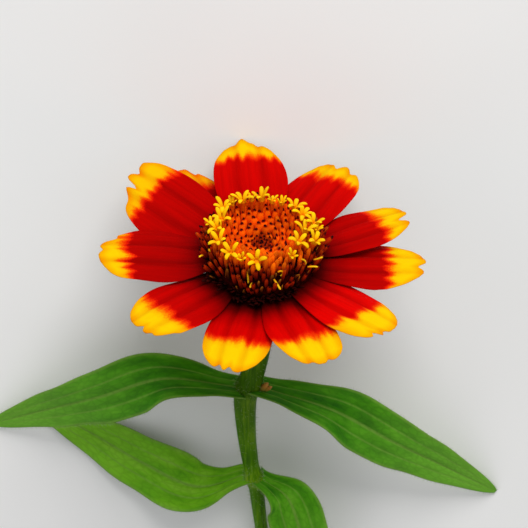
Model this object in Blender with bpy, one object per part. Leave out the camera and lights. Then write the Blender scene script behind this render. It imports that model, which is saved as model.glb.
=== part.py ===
"""A single zinnia flower as picked, lying on its back on a flat surface.

The head faces +Y and a little upwards, the straight stem runs back along -Y down to its cut end, and the four
leaves reach out to the sides. Lengths in the constants are in millimetres and angles in degrees.
"""
import math
from dataclasses import dataclass
from functools import partial

import bmesh
import bpy
from mathutils import Euler, Matrix, Vector

MM = 0.001
MERGE = 0.000001            # metres within which a turned shape's seam and poles close

# The pose of the flower. In the head's own frame z runs along its axis, and y points mostly down.
RECLINE = 18.42             # how far the head's axis is lifted from the surface
HEAD_CENTRE = Vector((1.85, 33.25, 23.04))
AXIS = Vector((0.0, math.cos(math.radians(RECLINE)), math.sin(math.radians(RECLINE))))

# The ray florets
CLAW_RADIUS = 5.9           # where every ray starts, from the head's axis
CLAW_SHARE = 0.25           # width of the claw as a share of the blade's
WIDEST_AT = 0.62            # share of a ray's length where it is widest
CLAW_SPREAD = 0.7           # how soon the claw widens, lower is sooner
TIP_NARROWING = 0.12        # share of its width that the blade has lost at the tip
CORNER_POWER = 2.2          # how squarely the tip's outline turns into the sides
CORNER_ROUNDING = 0.45
NOTCH_FADE = 6              # how quickly a notch in the tip dies away towards the claw
BEND_POWER = 1.5            # how late along the blade it bends
OPENED_AT = 0.35            # share of the length at which the blade has its full crown
RAY_CROWN = 0.6             # how far the edges fall below the midline
GROOVE_PLACE = 0.36         # where the two grooves run, as a share of the half width
GROOVE_DEPTH = 0.22
GROOVE_WIDTH = 0.12
RAY_THICKNESS = 0.35
RAY_COLUMNS, RAY_ROWS = 14, 9
MIDLINE_STEPS = 16          # steps that a ray's bent midline is drawn in

# The disc: a turned cap over the receptacle, as radius and height
DISC_TOP = ((0.0, 4.3), (2.0, 4.6), (4.0, 5.6), (6.0, 6.6), (7.2, 7.0), (8.3, 6.4), (9.0, 5.0), (9.3, 3.6))
DISC_UNDERSIDE = ((8.9, 2.8), (5.9, 2.0), (5.0, 2.18), (3.1, 2.98), (0.0, 3.45))
DISC_SIDES = 28

# The open disc florets
FLORET_SIDES = 10
FLORET_LOBES = 5
FLORET_BASE = 0.35          # radius of the tube's foot
FLORET_RINGS = (            # mean radius, swing between lobe and gap, height, swing of the height
    (FLORET_BASE, 0.0, 0.0, 0.0),
    (0.4, 0.0, 1.15, 0.0),
    (0.72, 0.36, 1.7, 0.1),
    (0.72, 0.36, 1.98, 0.1),
    (0.32, 0.0, 1.6, 0.0),
)
SEAT_GAP = 0.3
SLOPE_REACH = 0.2           # to each side of a floret, where the disc's slope is read

# The receptacle and stem, in the head's frame
RECEPTACLE = (              # radius and height
    (1.0, 3.0), (3.0, 2.5), (4.9, 1.6), (5.55, 1.3), (5.6, -1.2), (5.3, -2.6), (4.3, -5.0), (3.0, -7.2))
STEM_LINE = (               # sideways place and height
    (0.0, -9.0), (0.1, -17.0), (-0.7, -23.0), (-1.9, -29.0), (-1.6, -37.0), (-0.8, -44.0), (0.2, -49.0),
    (1.1, -57.0), (1.8, -63.0), (2.3, -69.6))
STEM_RADII = (              # height and radius
    (-9.0, 2.15), (-18.0, 1.95), (-24.5, 2.0), (-27.0, 2.3), (-29.5, 1.95), (-38.0, 1.6), (-45.5, 1.35),
    (-48.0, 1.75), (-50.5, 1.3), (-60.0, 1.15), (-69.6, 1.1))
STEM_STEP = 3.0
STEM_SIDES = 14
UPPER_NODE = Vector((-1.6, 0.0, -27.0))
LOWER_NODE = Vector((0.0, 0.0, -48.0))

# The leaves
LEAF_THICKNESS = 0.5
LEAF_COLUMNS, LEAF_ROWS = 6, 16
LEAF_TIP_SHARE = 0.06       # width of the blunt tip as a share of the leaf's
LEAF_WIDEST_AT = 0.36
LEAF_TAPER = 2.1            # how late a leaf narrows towards its tip
LEAF_LEVELLED_AT = 0.625    # share of the length at which a leaf has turned to its tip's direction
CLASP_END = 0.10            # share of the length over which the base bends round the stem
CLASP_LIMIT = 0.85          # how far the base may reach round, as a share of its distance from the axis
TANGENT_STEP = 0.01         # share of the length over which a midline's direction is read

# The bracts of the involucre
BRACT_THICKNESS = 0.3
BRACT_COLUMNS, BRACT_ROWS = 4, 5
BRACTS_IN_SERIES = 8
BRACT_BASE_SHARE = 0.45     # width of the base as a share of the bract's
BRACT_WIDEST_AT = 0.6
BRACT_ROUNDING = 0.30       # how far the tip's corners fall back, as a share of the length
BRACT_CORNER_POWER = 2.5


@dataclass(frozen=True)
class Ray:
    """One ray floret: where it points, its size, its angles and the shape of its toothed tip."""

    azimuth: float
    reach: float            # from the head's axis to the tip
    width: float
    rise: float             # slope of the claw
    bend: float             # how much the slope has lost at the tip
    roll: float             # turn about its own length
    lift: float             # height of the claw
    round_end: float        # how far the tip's corners fall back, as a share of the length
    skew: float             # how much further the counter-clockwise corner falls back
    notches: tuple          # each as place across, depth and half width


@dataclass(frozen=True)
class Leaf:
    """One leaf: the stem node it grows from and the midline, whose points are measured from that node."""

    node: Vector
    midline: tuple
    width: float
    base_share: float       # width of the base as a share of the widest
    base_normal: tuple      # which way the upper face looks at the base and at the tip
    tip_normal: tuple
    fold: float             # how far the margins stand above the midrib, as a share of the half width


@dataclass(frozen=True)
class Bracts:
    """One series of bracts: base, control point and tip of the midline as radius and height."""

    base: tuple
    control: tuple
    tip: tuple
    width: float
    first_azimuth: float


RAYS = (
    Ray(97.5, 25.2, 11.9, 12.1, 8, 0, 1.5, 0.30, -0.1, ((0.12, -1.15, 0.14), (-0.35, 0.5, 0.12))),
    Ray(60.0, 25.2, 11.4, 6.6, 4, -6, 1.2, 0.32, 0.15, ((-0.46, 0.9, 0.12), (0.08, 1.2, 0.14))),
    Ray(23.0, 25.0, 9.6, 7.0, 4, -3, 0.82, 0.36, -0.4, ((-0.12, 1.9, 0.13),)),
    Ray(-0.7, 25.6, 11.6, 3.8, 4, -3, 0.15, 0.46, 0.1, ((-0.12, 1.3, 0.13),)),
    Ray(-38.0, 25.3, 10.4, 4.0, 5, -5, 0.1, 0.34, 0.3, ((-0.56, 1.1, 0.08), (-0.28, 0.7, 0.07))),
    Ray(-67.5, 24.8, 10.3, 4.2, 6, -4, -0.42, 0.34, -0.3, ((-0.30, 0.6, 0.12), (0.30, 0.6, 0.12))),
    Ray(-98.8, 24.6, 10.2, 3.4, 7, 0, -0.97, 0.34, 0.0, ((-0.30, 1.0, 0.10), (0.05, 0.9, 0.10))),
    Ray(222.0, 24.5, 10.8, 3.0, 6, 0, 0.1, 0.3, -0.1, ((0.12, 0.9, 0.08), (0.5, 0.4, 0.08), (0.88, 1.2, 0.12))),
    Ray(184.0, 25.3, 11.6, 6.7, 7, -4, 1.1, 0.44, -0.45, ((-0.58, 1.2, 0.10), (-0.08, 0.7, 0.12))),
    Ray(146.2, 26.2, 13.4, 12.2, 4, -12, 0.25, 0.3, 0.45, ((0.1, 2.4, 0.08), (0.5, 2, 0.3), (-0.36, 0.7, 0.08))),
    Ray(123.5, 25.4, 10.4, 5.5, 2, 0, -0.5, 0.30, -0.6, ((-0.42, 1.2, 0.10), (-0.75, 1.4, 0.25))),
)

# Each open floret as azimuth, radius on the disc and outward tilt
OPEN_FLORETS = ((92, 6.8, 6), (122, 6.8, 12), (155, 7.2, 20), (177, 6.6, 15), (198, 7.4, 25), (217, 8.0, 32),
                (237, 8.2, 36), (265, 8.3, 40), (-42, 7.3, 28), (-27, 8.9, 45), (-17, 7.0, 22), (0, 8.0, 32),
                (18, 6.7, 15), (39, 6.5, 12))

INVOLUCRE = {
    "inner_bract": Bracts((4.85, -5.0), (6.2, -3.3), (7.7, -1.5), 4.4, 0.0),
    "middle_bract": Bracts((3.8, -6.7), (6.4, -5.9), (7.9, -3.2), 4.6, 22.5),
    "outer_bract": Bracts((3.05, -8.2), (5.6, -8.1), (7.3, -5.4), 4.1, 5.0),
}

LEAVES = {
    "upper_leaf_left": Leaf(
        UPPER_NODE, ((-2.85, 0.2, 0.2), (-13.8, 0.9, -0.4), (-24.8, -4.6, -4.0), (-34.6, -9.9, -9.2),
                     (-44.5, -15.3, -14.25)),
        9.8, 0.55, (0.0, 0.95, 0.31), (0.1, 0.0, 1.0), 0.10),
    "upper_leaf_right": Leaf(
        UPPER_NODE, ((2.85, 0.0, 0.2), (14.0, -3.8, -0.7), (24.5, -11.0, -4.3), (34.4, -18.0, -9.2),
                     (44.0, -25.0, -14.25)),
        9.4, 0.55, (0.0, 0.95, 0.31), (0.1, 0.0, 1.0), 0.10),
    "lower_leaf_left": Leaf(
        LOWER_NODE, ((-2.4, -0.2, -0.6), (-10.1, -3.2, -2.0), (-19.6, -0.6, -5.2), (-29.6, 4.4, -7.1),
                     (-39.0, 9.0, -7.6)),
        10.4, 0.40, (-0.2, 0.8, 0.5), (0.0, 0.0, 1.0), 0.06),
    "lower_leaf_right": Leaf(
        LOWER_NODE, ((2.0, -0.3, 1.0), (6.0, -2.6, 2.8), (9.0, -11.5, 1.6), (12.4, -22.5, -4.0),
                     (18.0, -33.5, -7.6)),
        9.6, 0.36, (-0.1, 0.85, 0.5), (0.0, 0.0, 1.0), 0.08),
}

# Material as colour, roughness
MATERIALS = {
    "petal_red": ((0.60, 0.004, 0.002), 0.55),
    "disc_orange": ((0.35, 0.03, 0.004), 0.7),
    "floret_yellow": ((0.90, 0.45, 0.01), 0.5),
    "stem_green": ((0.05, 0.10, 0.01), 0.6),
    "leaf_green": ((0.04, 0.12, 0.01), 0.55),
    "bract_green": ((0.06, 0.11, 0.02), 0.6),
}


def smooth(share):
    """An s-curve from 0 to 1, flat at both ends."""
    share = min(max(share, 0.0), 1.0)
    return share * share * (3 - 2 * share)


def along(points, share):
    """A point on the smooth curve through the given points, at a share of their number."""
    place = min(max(share, 0.0), 1.0) * (len(points) - 1)
    index = min(int(place), len(points) - 2)
    t = place - index
    before = Vector(points[max(index - 1, 0)])
    start, end = Vector(points[index]), Vector(points[index + 1])
    after = Vector(points[min(index + 2, len(points) - 1)])
    return (start + (end - before) * t / 2 + (before * 2 - start * 5 + end * 4 - after) * t * t / 2
            + (start * 3 - before - end * 3 + after) * t * t * t / 2)


def read_profile(profile, place):
    """The second value of a profile of pairs at a place between their first values, in rising order."""
    for (low, low_value), (high, high_value) in zip(profile, profile[1:]):
        if place <= high:
            return low_value + (high_value - low_value) * (place - low) / (high - low)
    return profile[-1][1]


def make_material(name):
    """The plain finish of one kind of piece."""
    colour, roughness = MATERIALS[name]
    material = bpy.data.materials.new(name)
    material.use_nodes = True
    shader = material.node_tree.nodes["Principled BSDF"]
    shader.inputs["Base Color"].default_value = (*colour, 1.0)
    shader.inputs["Roughness"].default_value = roughness
    return material


def add_piece(name, mesh, material, parent):
    """An object that shows the mesh, smooth and in its material, under the parent."""
    if not mesh.materials:
        mesh.materials.append(material)
    mesh.shade_smooth()
    piece = bpy.data.objects.new(name, mesh)
    bpy.context.collection.objects.link(piece)
    piece.parent = parent
    return piece


def mesh_from(name, work):
    """The mesh that the work holds, with its faces pointing outwards."""
    bmesh.ops.recalc_face_normals(work, faces=work.faces)
    mesh = bpy.data.meshes.new(name)
    work.to_mesh(mesh)
    work.free()
    return mesh


def sheet_mesh(name, columns, rows, place):
    """A grid bent by place(across from -1 to 1, along from 0 to 1), which gives points in millimetres."""
    work = bmesh.new()
    bmesh.ops.create_grid(work, x_segments=columns, y_segments=rows, size=1.0)
    for vert in work.verts:
        vert.co = place(vert.co.x, (vert.co.y + 1) / 2) * MM
    return mesh_from(name, work)


def thicken(piece, thickness):
    """Gives a bent sheet its thickness, half to each side."""
    solid = piece.modifiers.new("thickness", "SOLIDIFY")
    solid.thickness = thickness * MM
    solid.offset = 0.0


def ray_point(ray, across, length_share):
    """A point of a ray's middle surface, with x outwards along the ray and z along the head's axis."""
    length = ray.reach - CLAW_RADIUS
    corner = 1 - (1 - min(1.0, abs(across)) ** CORNER_POWER) ** CORNER_ROUNDING
    fall = ray.round_end * corner * (1 + ray.skew * across)
    cut = sum(depth * math.exp(-((across - place) / width) ** 2) for place, depth, width in ray.notches)
    share = length_share * (1 - fall * length_share - cut / length * length_share ** NOTCH_FADE)
    x, z = CLAW_RADIUS, ray.lift
    stride = share * length / MIDLINE_STEPS
    for step in range(MIDLINE_STEPS):
        slope = math.radians(ray.rise - ray.bend * ((step + 0.5) / MIDLINE_STEPS * share) ** BEND_POWER)
        x += math.cos(slope) * stride
        z += math.sin(slope) * stride
    slope = math.radians(ray.rise - ray.bend * share ** BEND_POWER)
    half = ray.width / 2 * (CLAW_SHARE + (1 - CLAW_SHARE) * smooth(share / WIDEST_AT) ** CLAW_SPREAD)
    half *= 1 - TIP_NARROWING * smooth((share - WIDEST_AT) / (1 - WIDEST_AT))
    opened = smooth(share / OPENED_AT)
    grooves = sum(math.exp(-((across - side * GROOVE_PLACE) / GROOVE_WIDTH) ** 2) for side in (-1, 1))
    y = half * across
    up = -opened * (RAY_CROWN * across * across + GROOVE_DEPTH * grooves)
    turn = math.radians(ray.roll) * opened
    y, up = y * math.cos(turn) - up * math.sin(turn), y * math.sin(turn) + up * math.cos(turn)
    return Vector((x - math.sin(slope) * up, y, z + math.cos(slope) * up))


def add_rays(head, material):
    """The ray florets, the coloured petals round the disc, each turned to its own azimuth."""
    for number, ray in enumerate(RAYS, start=1):
        name = f"ray_floret_{number:02d}"
        mesh = sheet_mesh(name, RAY_COLUMNS, RAY_ROWS, partial(ray_point, ray))
        piece = add_piece(name, mesh, material, head)
        piece.rotation_euler.z = math.radians(ray.azimuth)
        thicken(piece, RAY_THICKNESS)


def add_disc(head, material):
    """The disc's packed florets and scales as one turned cap, hollow below where the receptacle stands."""
    work = bmesh.new()
    profile = DISC_TOP + DISC_UNDERSIDE
    verts = [work.verts.new((radius * MM, 0.0, height * MM)) for radius, height in profile]
    edges = [work.edges.new(pair) for pair in zip(verts, verts[1:])]
    bmesh.ops.spin(work, geom=verts + edges, axis=(0, 0, 1), angle=math.tau, steps=DISC_SIDES)
    bmesh.ops.remove_doubles(work, verts=work.verts, dist=MERGE)
    add_piece("disc", mesh_from("disc", work), material, head)


def open_floret_mesh():
    """A short tube that opens into five pointed lobes, standing along +Z."""
    work = bmesh.new()
    verts = bmesh.ops.create_circle(work, cap_ends=True, segments=FLORET_SIDES, radius=1.0)["verts"]
    edges = list(work.edges)
    for number, (radius, swing, height, rise) in enumerate(FLORET_RINGS):
        if number > 0:
            grown = bmesh.ops.extrude_edge_only(work, edges=edges)["geom"]
            verts = [item for item in grown if isinstance(item, bmesh.types.BMVert)]
            edges = [item for item in grown if isinstance(item, bmesh.types.BMEdge)]
        for vert in verts:
            angle = math.atan2(vert.co.y, vert.co.x)
            lobe = math.sin(FLORET_LOBES * angle)
            reach = radius + swing * lobe
            vert.co = Vector((reach * math.cos(angle), reach * math.sin(angle), height + rise * lobe)) * MM
    bmesh.ops.contextual_create(work, geom=edges)
    return mesh_from("open_floret", work)


def add_open_florets(head, material):
    """The open disc florets, each standing on the disc's ridge with its base just clear of it."""
    mesh = open_floret_mesh()
    for number, (azimuth, radius, tilt) in enumerate(OPEN_FLORETS, start=1):
        height = read_profile(DISC_TOP, radius)
        drop = read_profile(DISC_TOP, radius - SLOPE_REACH) - read_profile(DISC_TOP, radius + SLOPE_REACH)
        slope = math.atan2(drop, 2 * SLOPE_REACH)
        lean = math.radians(tilt)
        lift = SEAT_GAP + FLORET_BASE * abs(math.sin(slope - lean))
        spoke = Matrix.Rotation(math.radians(azimuth), 4, "Z")
        seat = Vector((radius + math.sin(slope) * lift, 0.0, height + math.cos(slope) * lift))
        piece = add_piece(f"open_floret_{number:02d}", mesh, material, head)
        piece.location = spoke @ seat * MM
        piece.rotation_euler = Euler((0.0, lean, math.radians(azimuth)), "XYZ")


def add_stem(head, material):
    """The receptacle's cone and cup and the stem below it as one round, slightly wavy solid."""
    stations = [(Vector((0.0, 0.0, height)), radius) for radius, height in RECEPTACLE]
    depths = [-height for _, height in STEM_LINE]
    steps = round((depths[-1] - depths[0]) / STEM_STEP)
    even = {-depths[0] - STEM_STEP * step for step in range(steps)}
    heights = sorted(even | {height for height, _ in STEM_RADII}, reverse=True)
    radii = tuple(sorted(STEM_RADII))
    places = [(depth, index / (len(depths) - 1)) for index, depth in enumerate(depths)]
    for height in heights:
        side = along([(x, 0.0, z) for x, z in STEM_LINE], read_profile(places, -height)).x
        stations.append((Vector((side, 0.0, height)), read_profile(radii, height)))
    work = bmesh.new()
    verts = bmesh.ops.create_circle(work, cap_ends=True, segments=STEM_SIDES, radius=1.0)["verts"]
    edges = list(work.edges)
    before = Matrix.Identity(4)
    for number, (centre, radius) in enumerate(stations):
        if number > 0:
            grown = bmesh.ops.extrude_edge_only(work, edges=edges)["geom"]
            verts = [item for item in grown if isinstance(item, bmesh.types.BMVert)]
            edges = [item for item in grown if isinstance(item, bmesh.types.BMEdge)]
        here = Matrix.Translation(centre * MM) @ Matrix.Scale(radius * MM, 4)
        bmesh.ops.transform(work, matrix=here @ before.inverted(), verts=verts)
        before = here
    bmesh.ops.contextual_create(work, geom=edges)
    add_piece("stem", mesh_from("stem", work), material, head)


def bract_point(series, across, share):
    """A point of a bract's middle surface, curved about the head's axis, with x outwards."""
    t = share * (1 - BRACT_ROUNDING * abs(across) ** BRACT_CORNER_POWER)
    base, control, tip = (Vector(pair) for pair in (series.base, series.control, series.tip))
    radius, height = base * (1 - t) ** 2 + control * 2 * t * (1 - t) + tip * t * t
    half = series.width / 2 * (BRACT_BASE_SHARE + (1 - BRACT_BASE_SHARE) * smooth(t / BRACT_WIDEST_AT))
    angle = half * across / radius
    return Vector((radius * math.cos(angle), radius * math.sin(angle), height))


def add_involucre(head, material):
    """Three overlapping series of green bracts that cup the underside of the head."""
    for kind, series in INVOLUCRE.items():
        place = partial(bract_point, series)
        mesh = sheet_mesh(kind, BRACT_COLUMNS, BRACT_ROWS, place)
        for number in range(BRACTS_IN_SERIES):
            piece = add_piece(f"{kind}_{number + 1}", mesh, material, head)
            piece.rotation_euler.z = math.radians(series.first_azimuth + 360 / BRACTS_IN_SERIES * number)
            thicken(piece, BRACT_THICKNESS)


def leaf_point(leaf, across, share):
    """A point of a leaf's middle surface, measured from the stem node that it grows from."""
    centre = along(leaf.midline, share)
    ahead = along(leaf.midline, min(share + TANGENT_STEP, 1.0))
    tangent = (ahead - along(leaf.midline, max(share - TANGENT_STEP, 0.0))).normalized()
    levelled = smooth(share / LEAF_LEVELLED_AT)
    normal = Vector(leaf.base_normal).lerp(Vector(leaf.tip_normal), levelled).normalized()
    side = normal.cross(tangent).normalized()
    normal = tangent.cross(side)
    growth = leaf.base_share + (1 - leaf.base_share) * smooth(share / LEAF_WIDEST_AT)
    past = max(share - LEAF_WIDEST_AT, 0.0) / (1 - LEAF_WIDEST_AT)
    taper = LEAF_TIP_SHARE + (1 - LEAF_TIP_SHARE) * (1 - past ** LEAF_TAPER)
    half = leaf.width / 2 * growth * taper
    seat = Vector(leaf.midline[0])
    clasp = (seat - AXIS * seat.dot(AXIS)).length
    reach = min((side - AXIS * side.dot(AXIS)).length * abs(half * across), clasp * CLASP_LIMIT)
    wrap = (clasp - math.sqrt(clasp ** 2 - reach ** 2)) * max(1 - share / CLASP_END, 0.0) ** 2
    return centre + side * half * across + normal * leaf.fold * half * abs(across) - tangent * wrap


def add_leaves(head, material):
    """The two pairs of opposite, stalkless leaves, which droop until their tips lie on the surface."""
    to_world = head.matrix_local
    for name, leaf in LEAVES.items():
        mesh = sheet_mesh(name, LEAF_COLUMNS, LEAF_ROWS, partial(leaf_point, leaf))
        piece = add_piece(name, mesh, material, None)
        piece.location = to_world @ (leaf.node * MM)
        thicken(piece, LEAF_THICKNESS)


def add_head_frame():
    """The empty that carries the head and stem and lays them down on the surface."""
    head = bpy.data.objects.new("head", None)
    bpy.context.collection.objects.link(head)
    head.location = HEAD_CENTRE * MM
    head.rotation_euler.x = -math.radians(90 - RECLINE)
    bpy.context.view_layer.update()
    return head


def main():
    """Builds the flower in an empty scene."""
    for leftover in list(bpy.data.objects):
        bpy.data.objects.remove(leftover, do_unlink=True)
    finishes = {name: make_material(name) for name in MATERIALS}
    head = add_head_frame()
    add_stem(head, finishes["stem_green"])
    add_rays(head, finishes["petal_red"])
    add_disc(head, finishes["disc_orange"])
    add_open_florets(head, finishes["floret_yellow"])
    add_involucre(head, finishes["bract_green"])
    add_leaves(head, finishes["leaf_green"])


main()
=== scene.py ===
"""The looks of a single picked zinnia that lies on its back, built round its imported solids.

The head faces +Y and a little upwards, the stem runs back along -Y to its cut end, and four leaves reach out
to the sides. Sizes in the classes are in millimetres and angles in degrees, where no comment says otherwise;
the scene itself is in metres.
"""

import logging
import math
import random
from dataclasses import dataclass, field, replace
from enum import Enum
from functools import partial
from typing import Callable, Iterable, Sequence

import bmesh
import bpy
from mathutils import Matrix, Vector


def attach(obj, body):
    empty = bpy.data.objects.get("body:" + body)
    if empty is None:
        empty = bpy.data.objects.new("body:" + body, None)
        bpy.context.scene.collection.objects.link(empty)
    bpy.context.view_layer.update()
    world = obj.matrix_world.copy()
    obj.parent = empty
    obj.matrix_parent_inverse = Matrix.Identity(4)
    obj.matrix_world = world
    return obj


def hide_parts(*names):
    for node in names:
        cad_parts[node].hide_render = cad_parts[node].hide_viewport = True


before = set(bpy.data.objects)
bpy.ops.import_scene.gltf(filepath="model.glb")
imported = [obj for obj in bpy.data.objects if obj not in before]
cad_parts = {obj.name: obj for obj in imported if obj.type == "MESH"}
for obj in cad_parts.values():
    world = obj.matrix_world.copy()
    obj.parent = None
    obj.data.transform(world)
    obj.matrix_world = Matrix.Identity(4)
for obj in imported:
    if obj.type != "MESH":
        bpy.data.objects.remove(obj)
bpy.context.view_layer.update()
LOG = logging.getLogger("zinnia")

MM = 0.001
BODY = "root"
GOLDEN_ANGLE = math.radians(137.508)

# The flower's pose. In the head's own frame z runs along its axis, and y points mostly down.
RECLINE = 18.42  # how far the axis rises
HEAD_CENTRE = Vector((1.85, 33.25, 23.04)) * MM
HEAD = Matrix.Translation(HEAD_CENTRE) @ Matrix.Rotation(-math.radians(90 - RECLINE), 4, "X")
HEAD_MM = HEAD @ Matrix.Scale(MM, 4)
AXIS = Vector((0.0, math.cos(math.radians(RECLINE)), math.sin(math.radians(RECLINE))))

# The stem's two nodes, each with a pair of leaves, in the head's frame
UPPER_NODE = Vector((-1.6, 0.0, -27.0))
LOWER_NODE = Vector((0.0, 0.0, -48.0))

# The disc's outer surface, as radius and height; the open florets stand on it
DISC_TOP = ((0.0, 4.3), (2.0, 4.6), (4.0, 5.6), (6.0, 6.6), (7.2, 7.0), (8.3, 6.4), (9.0, 5.0), (9.3, 3.6))

# A Mix node that blends or multiplies colours, and a Map Range node that eases in and out
BLEND = {"data_type": "RGBA"}
MULTIPLY = {"data_type": "RGBA", "blend_type": "MULTIPLY"}
EASED = {"interpolation_type": "SMOOTHSTEP"}

Pair = tuple[float, float]
Stops = tuple[tuple[float, str], ...]
Painter = Callable[[float, float], Pair]
NodeCall = Callable[..., bpy.types.Node]


class Slot(Enum):
    """The record's material slots, by the tissue that they dress."""

    PETAL = "petal"
    DISC = "disc"
    FLORET = "floret"
    BRACT = "bract"
    LEAF = "leaf"
    STEM = "stem"


def smooth(share: float) -> float:
    """An s-curve from 0 to 1, flat at both ends."""
    share = min(max(share, 0.0), 1.0)
    return share * share * (3 - 2 * share)


def bell(place: float, centre: float, half_width: float) -> float:
    """A soft bump of height 1 round a place."""
    return math.exp(-((place - centre) / half_width) ** 2)


def along(points: Sequence[Sequence[float]], share: float) -> Vector:
    """A point on the smooth curve through the given points.

    Args:
        points: The points that the curve passes through.
        share: The place on it, as a share of the number of spans.

    Returns:
        The point.
    """
    place = min(max(share, 0.0), 1.0) * (len(points) - 1)
    index = min(int(place), len(points) - 2)
    t = place - index
    before = Vector(points[max(index - 1, 0)])
    start, end = Vector(points[index]), Vector(points[index + 1])
    after = Vector(points[min(index + 2, len(points) - 1)])
    return (start + (end - before) * t / 2 + (before * 2 - start * 5 + end * 4 - after) * t * t / 2
            + (start * 3 - before - end * 3 + after) * t * t * t / 2)


def read_profile(profile: Sequence[Pair], place: float) -> float:
    """The second value of a profile of pairs at a place between their first values.

    Args:
        profile: Pairs with their first values in rising order.
        place: Where to read it.

    Returns:
        The value there, or the nearest end's value.
    """
    if place <= profile[0][0]:
        return profile[0][1]
    for (low, low_value), (high, high_value) in zip(profile, profile[1:]):
        if place <= high:
            return low_value + (high_value - low_value) * (place - low) / (high - low)
    return profile[-1][1]


def linear(code: str) -> tuple[float, float, float, float]:
    """Turns an sRGB colour into linear light.

    Args:
        code: The colour as a hash and six hex digits.

    Returns:
        Red, green, blue and an alpha of 1.
    """
    channels = (int(code[start:start + 2], 16) / 255 for start in (1, 3, 5))
    red, green, blue = (c / 12.92 if c <= 0.04045 else ((c + 0.055) / 1.055) ** 2.4 for c in channels)
    return red, green, blue, 1.0


def per_mm(size: Pair) -> tuple[float, float, float]:
    """The scale that gives a pattern a size across and along a map in millimetres."""
    return 1 / size[0], 1 / size[1], 1.0


def shown(node: bpy.types.Node) -> bpy.types.NodeSocket:
    """The first output that a node has in use."""
    return next(output for output in node.outputs if output.enabled)


def add_node(tree: bpy.types.NodeTree, kind: str, inputs: dict | None = None, stops: Stops = (),
             **settings: object) -> bpy.types.Node:
    """Adds a node with its settings and links.

    An input goes by its name or its number. A Math node's numbers are 0 to 2. A Mix node's factor is 0, its
    values are 2 and 3 and its colours 6 and 7. A Map Range node's value is 0, its own ends are 1 and 2, and
    the ends that it gives 3 and 4.

    Args:
        tree: The material's node tree.
        kind: The node's type, without the words that all shader nodes start with.
        inputs: A value, a socket or a node for each input. A node gives its first output in use.
        stops: Places and colours, where the node is a colour ramp.
        settings: The node's own properties.

    Returns:
        The new node.
    """
    node = tree.nodes.new(f"ShaderNode{kind}")
    for name, value in settings.items():
        setattr(node, name, value)
    for key, value in (inputs or {}).items():
        if isinstance(value, bpy.types.Node):
            value = shown(value)
        if isinstance(value, bpy.types.NodeSocket):
            tree.links.new(value, node.inputs[key])
        else:
            node.inputs[key].default_value = value
    if stops:
        elements = node.color_ramp.elements
        while len(elements) < len(stops):
            elements.new(1.0)
        for element, (place, colour) in zip(elements, stops):
            element.position = place
            element.color = linear(colour)
    return node


def start_finish(name: str, **surface: float) -> tuple[bpy.types.Material, NodeCall]:
    """Starts a finish from its constant surface values.

    Args:
        name: The finish's name.
        surface: Values for the shader's sockets, with underscores for spaces.

    Returns:
        The material, and a call that adds nodes to it.
    """
    material = bpy.data.materials.new(name)
    material.use_nodes = True
    shader = material.node_tree.nodes["Principled BSDF"]
    for socket, value in surface.items():
        shader.inputs[socket.replace("_", " ")].default_value = value
    return material, partial(add_node, material.node_tree)


def close_finish(material: bpy.types.Material, colour: bpy.types.Node,
                 relief: bpy.types.Node | None = None) -> bpy.types.Material:
    """Lays a finish's colour and relief on its shader.

    Args:
        material: The material.
        colour: The node that gives its colour.
        relief: The node that gives its normal, where it has one.

    Returns:
        The finished material.
    """
    sockets = material.node_tree.nodes["Principled BSDF"].inputs
    material.node_tree.links.new(shown(colour), sockets["Base Color"])
    if relief:
        material.node_tree.links.new(shown(relief), sockets["Normal"])
    return material


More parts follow.
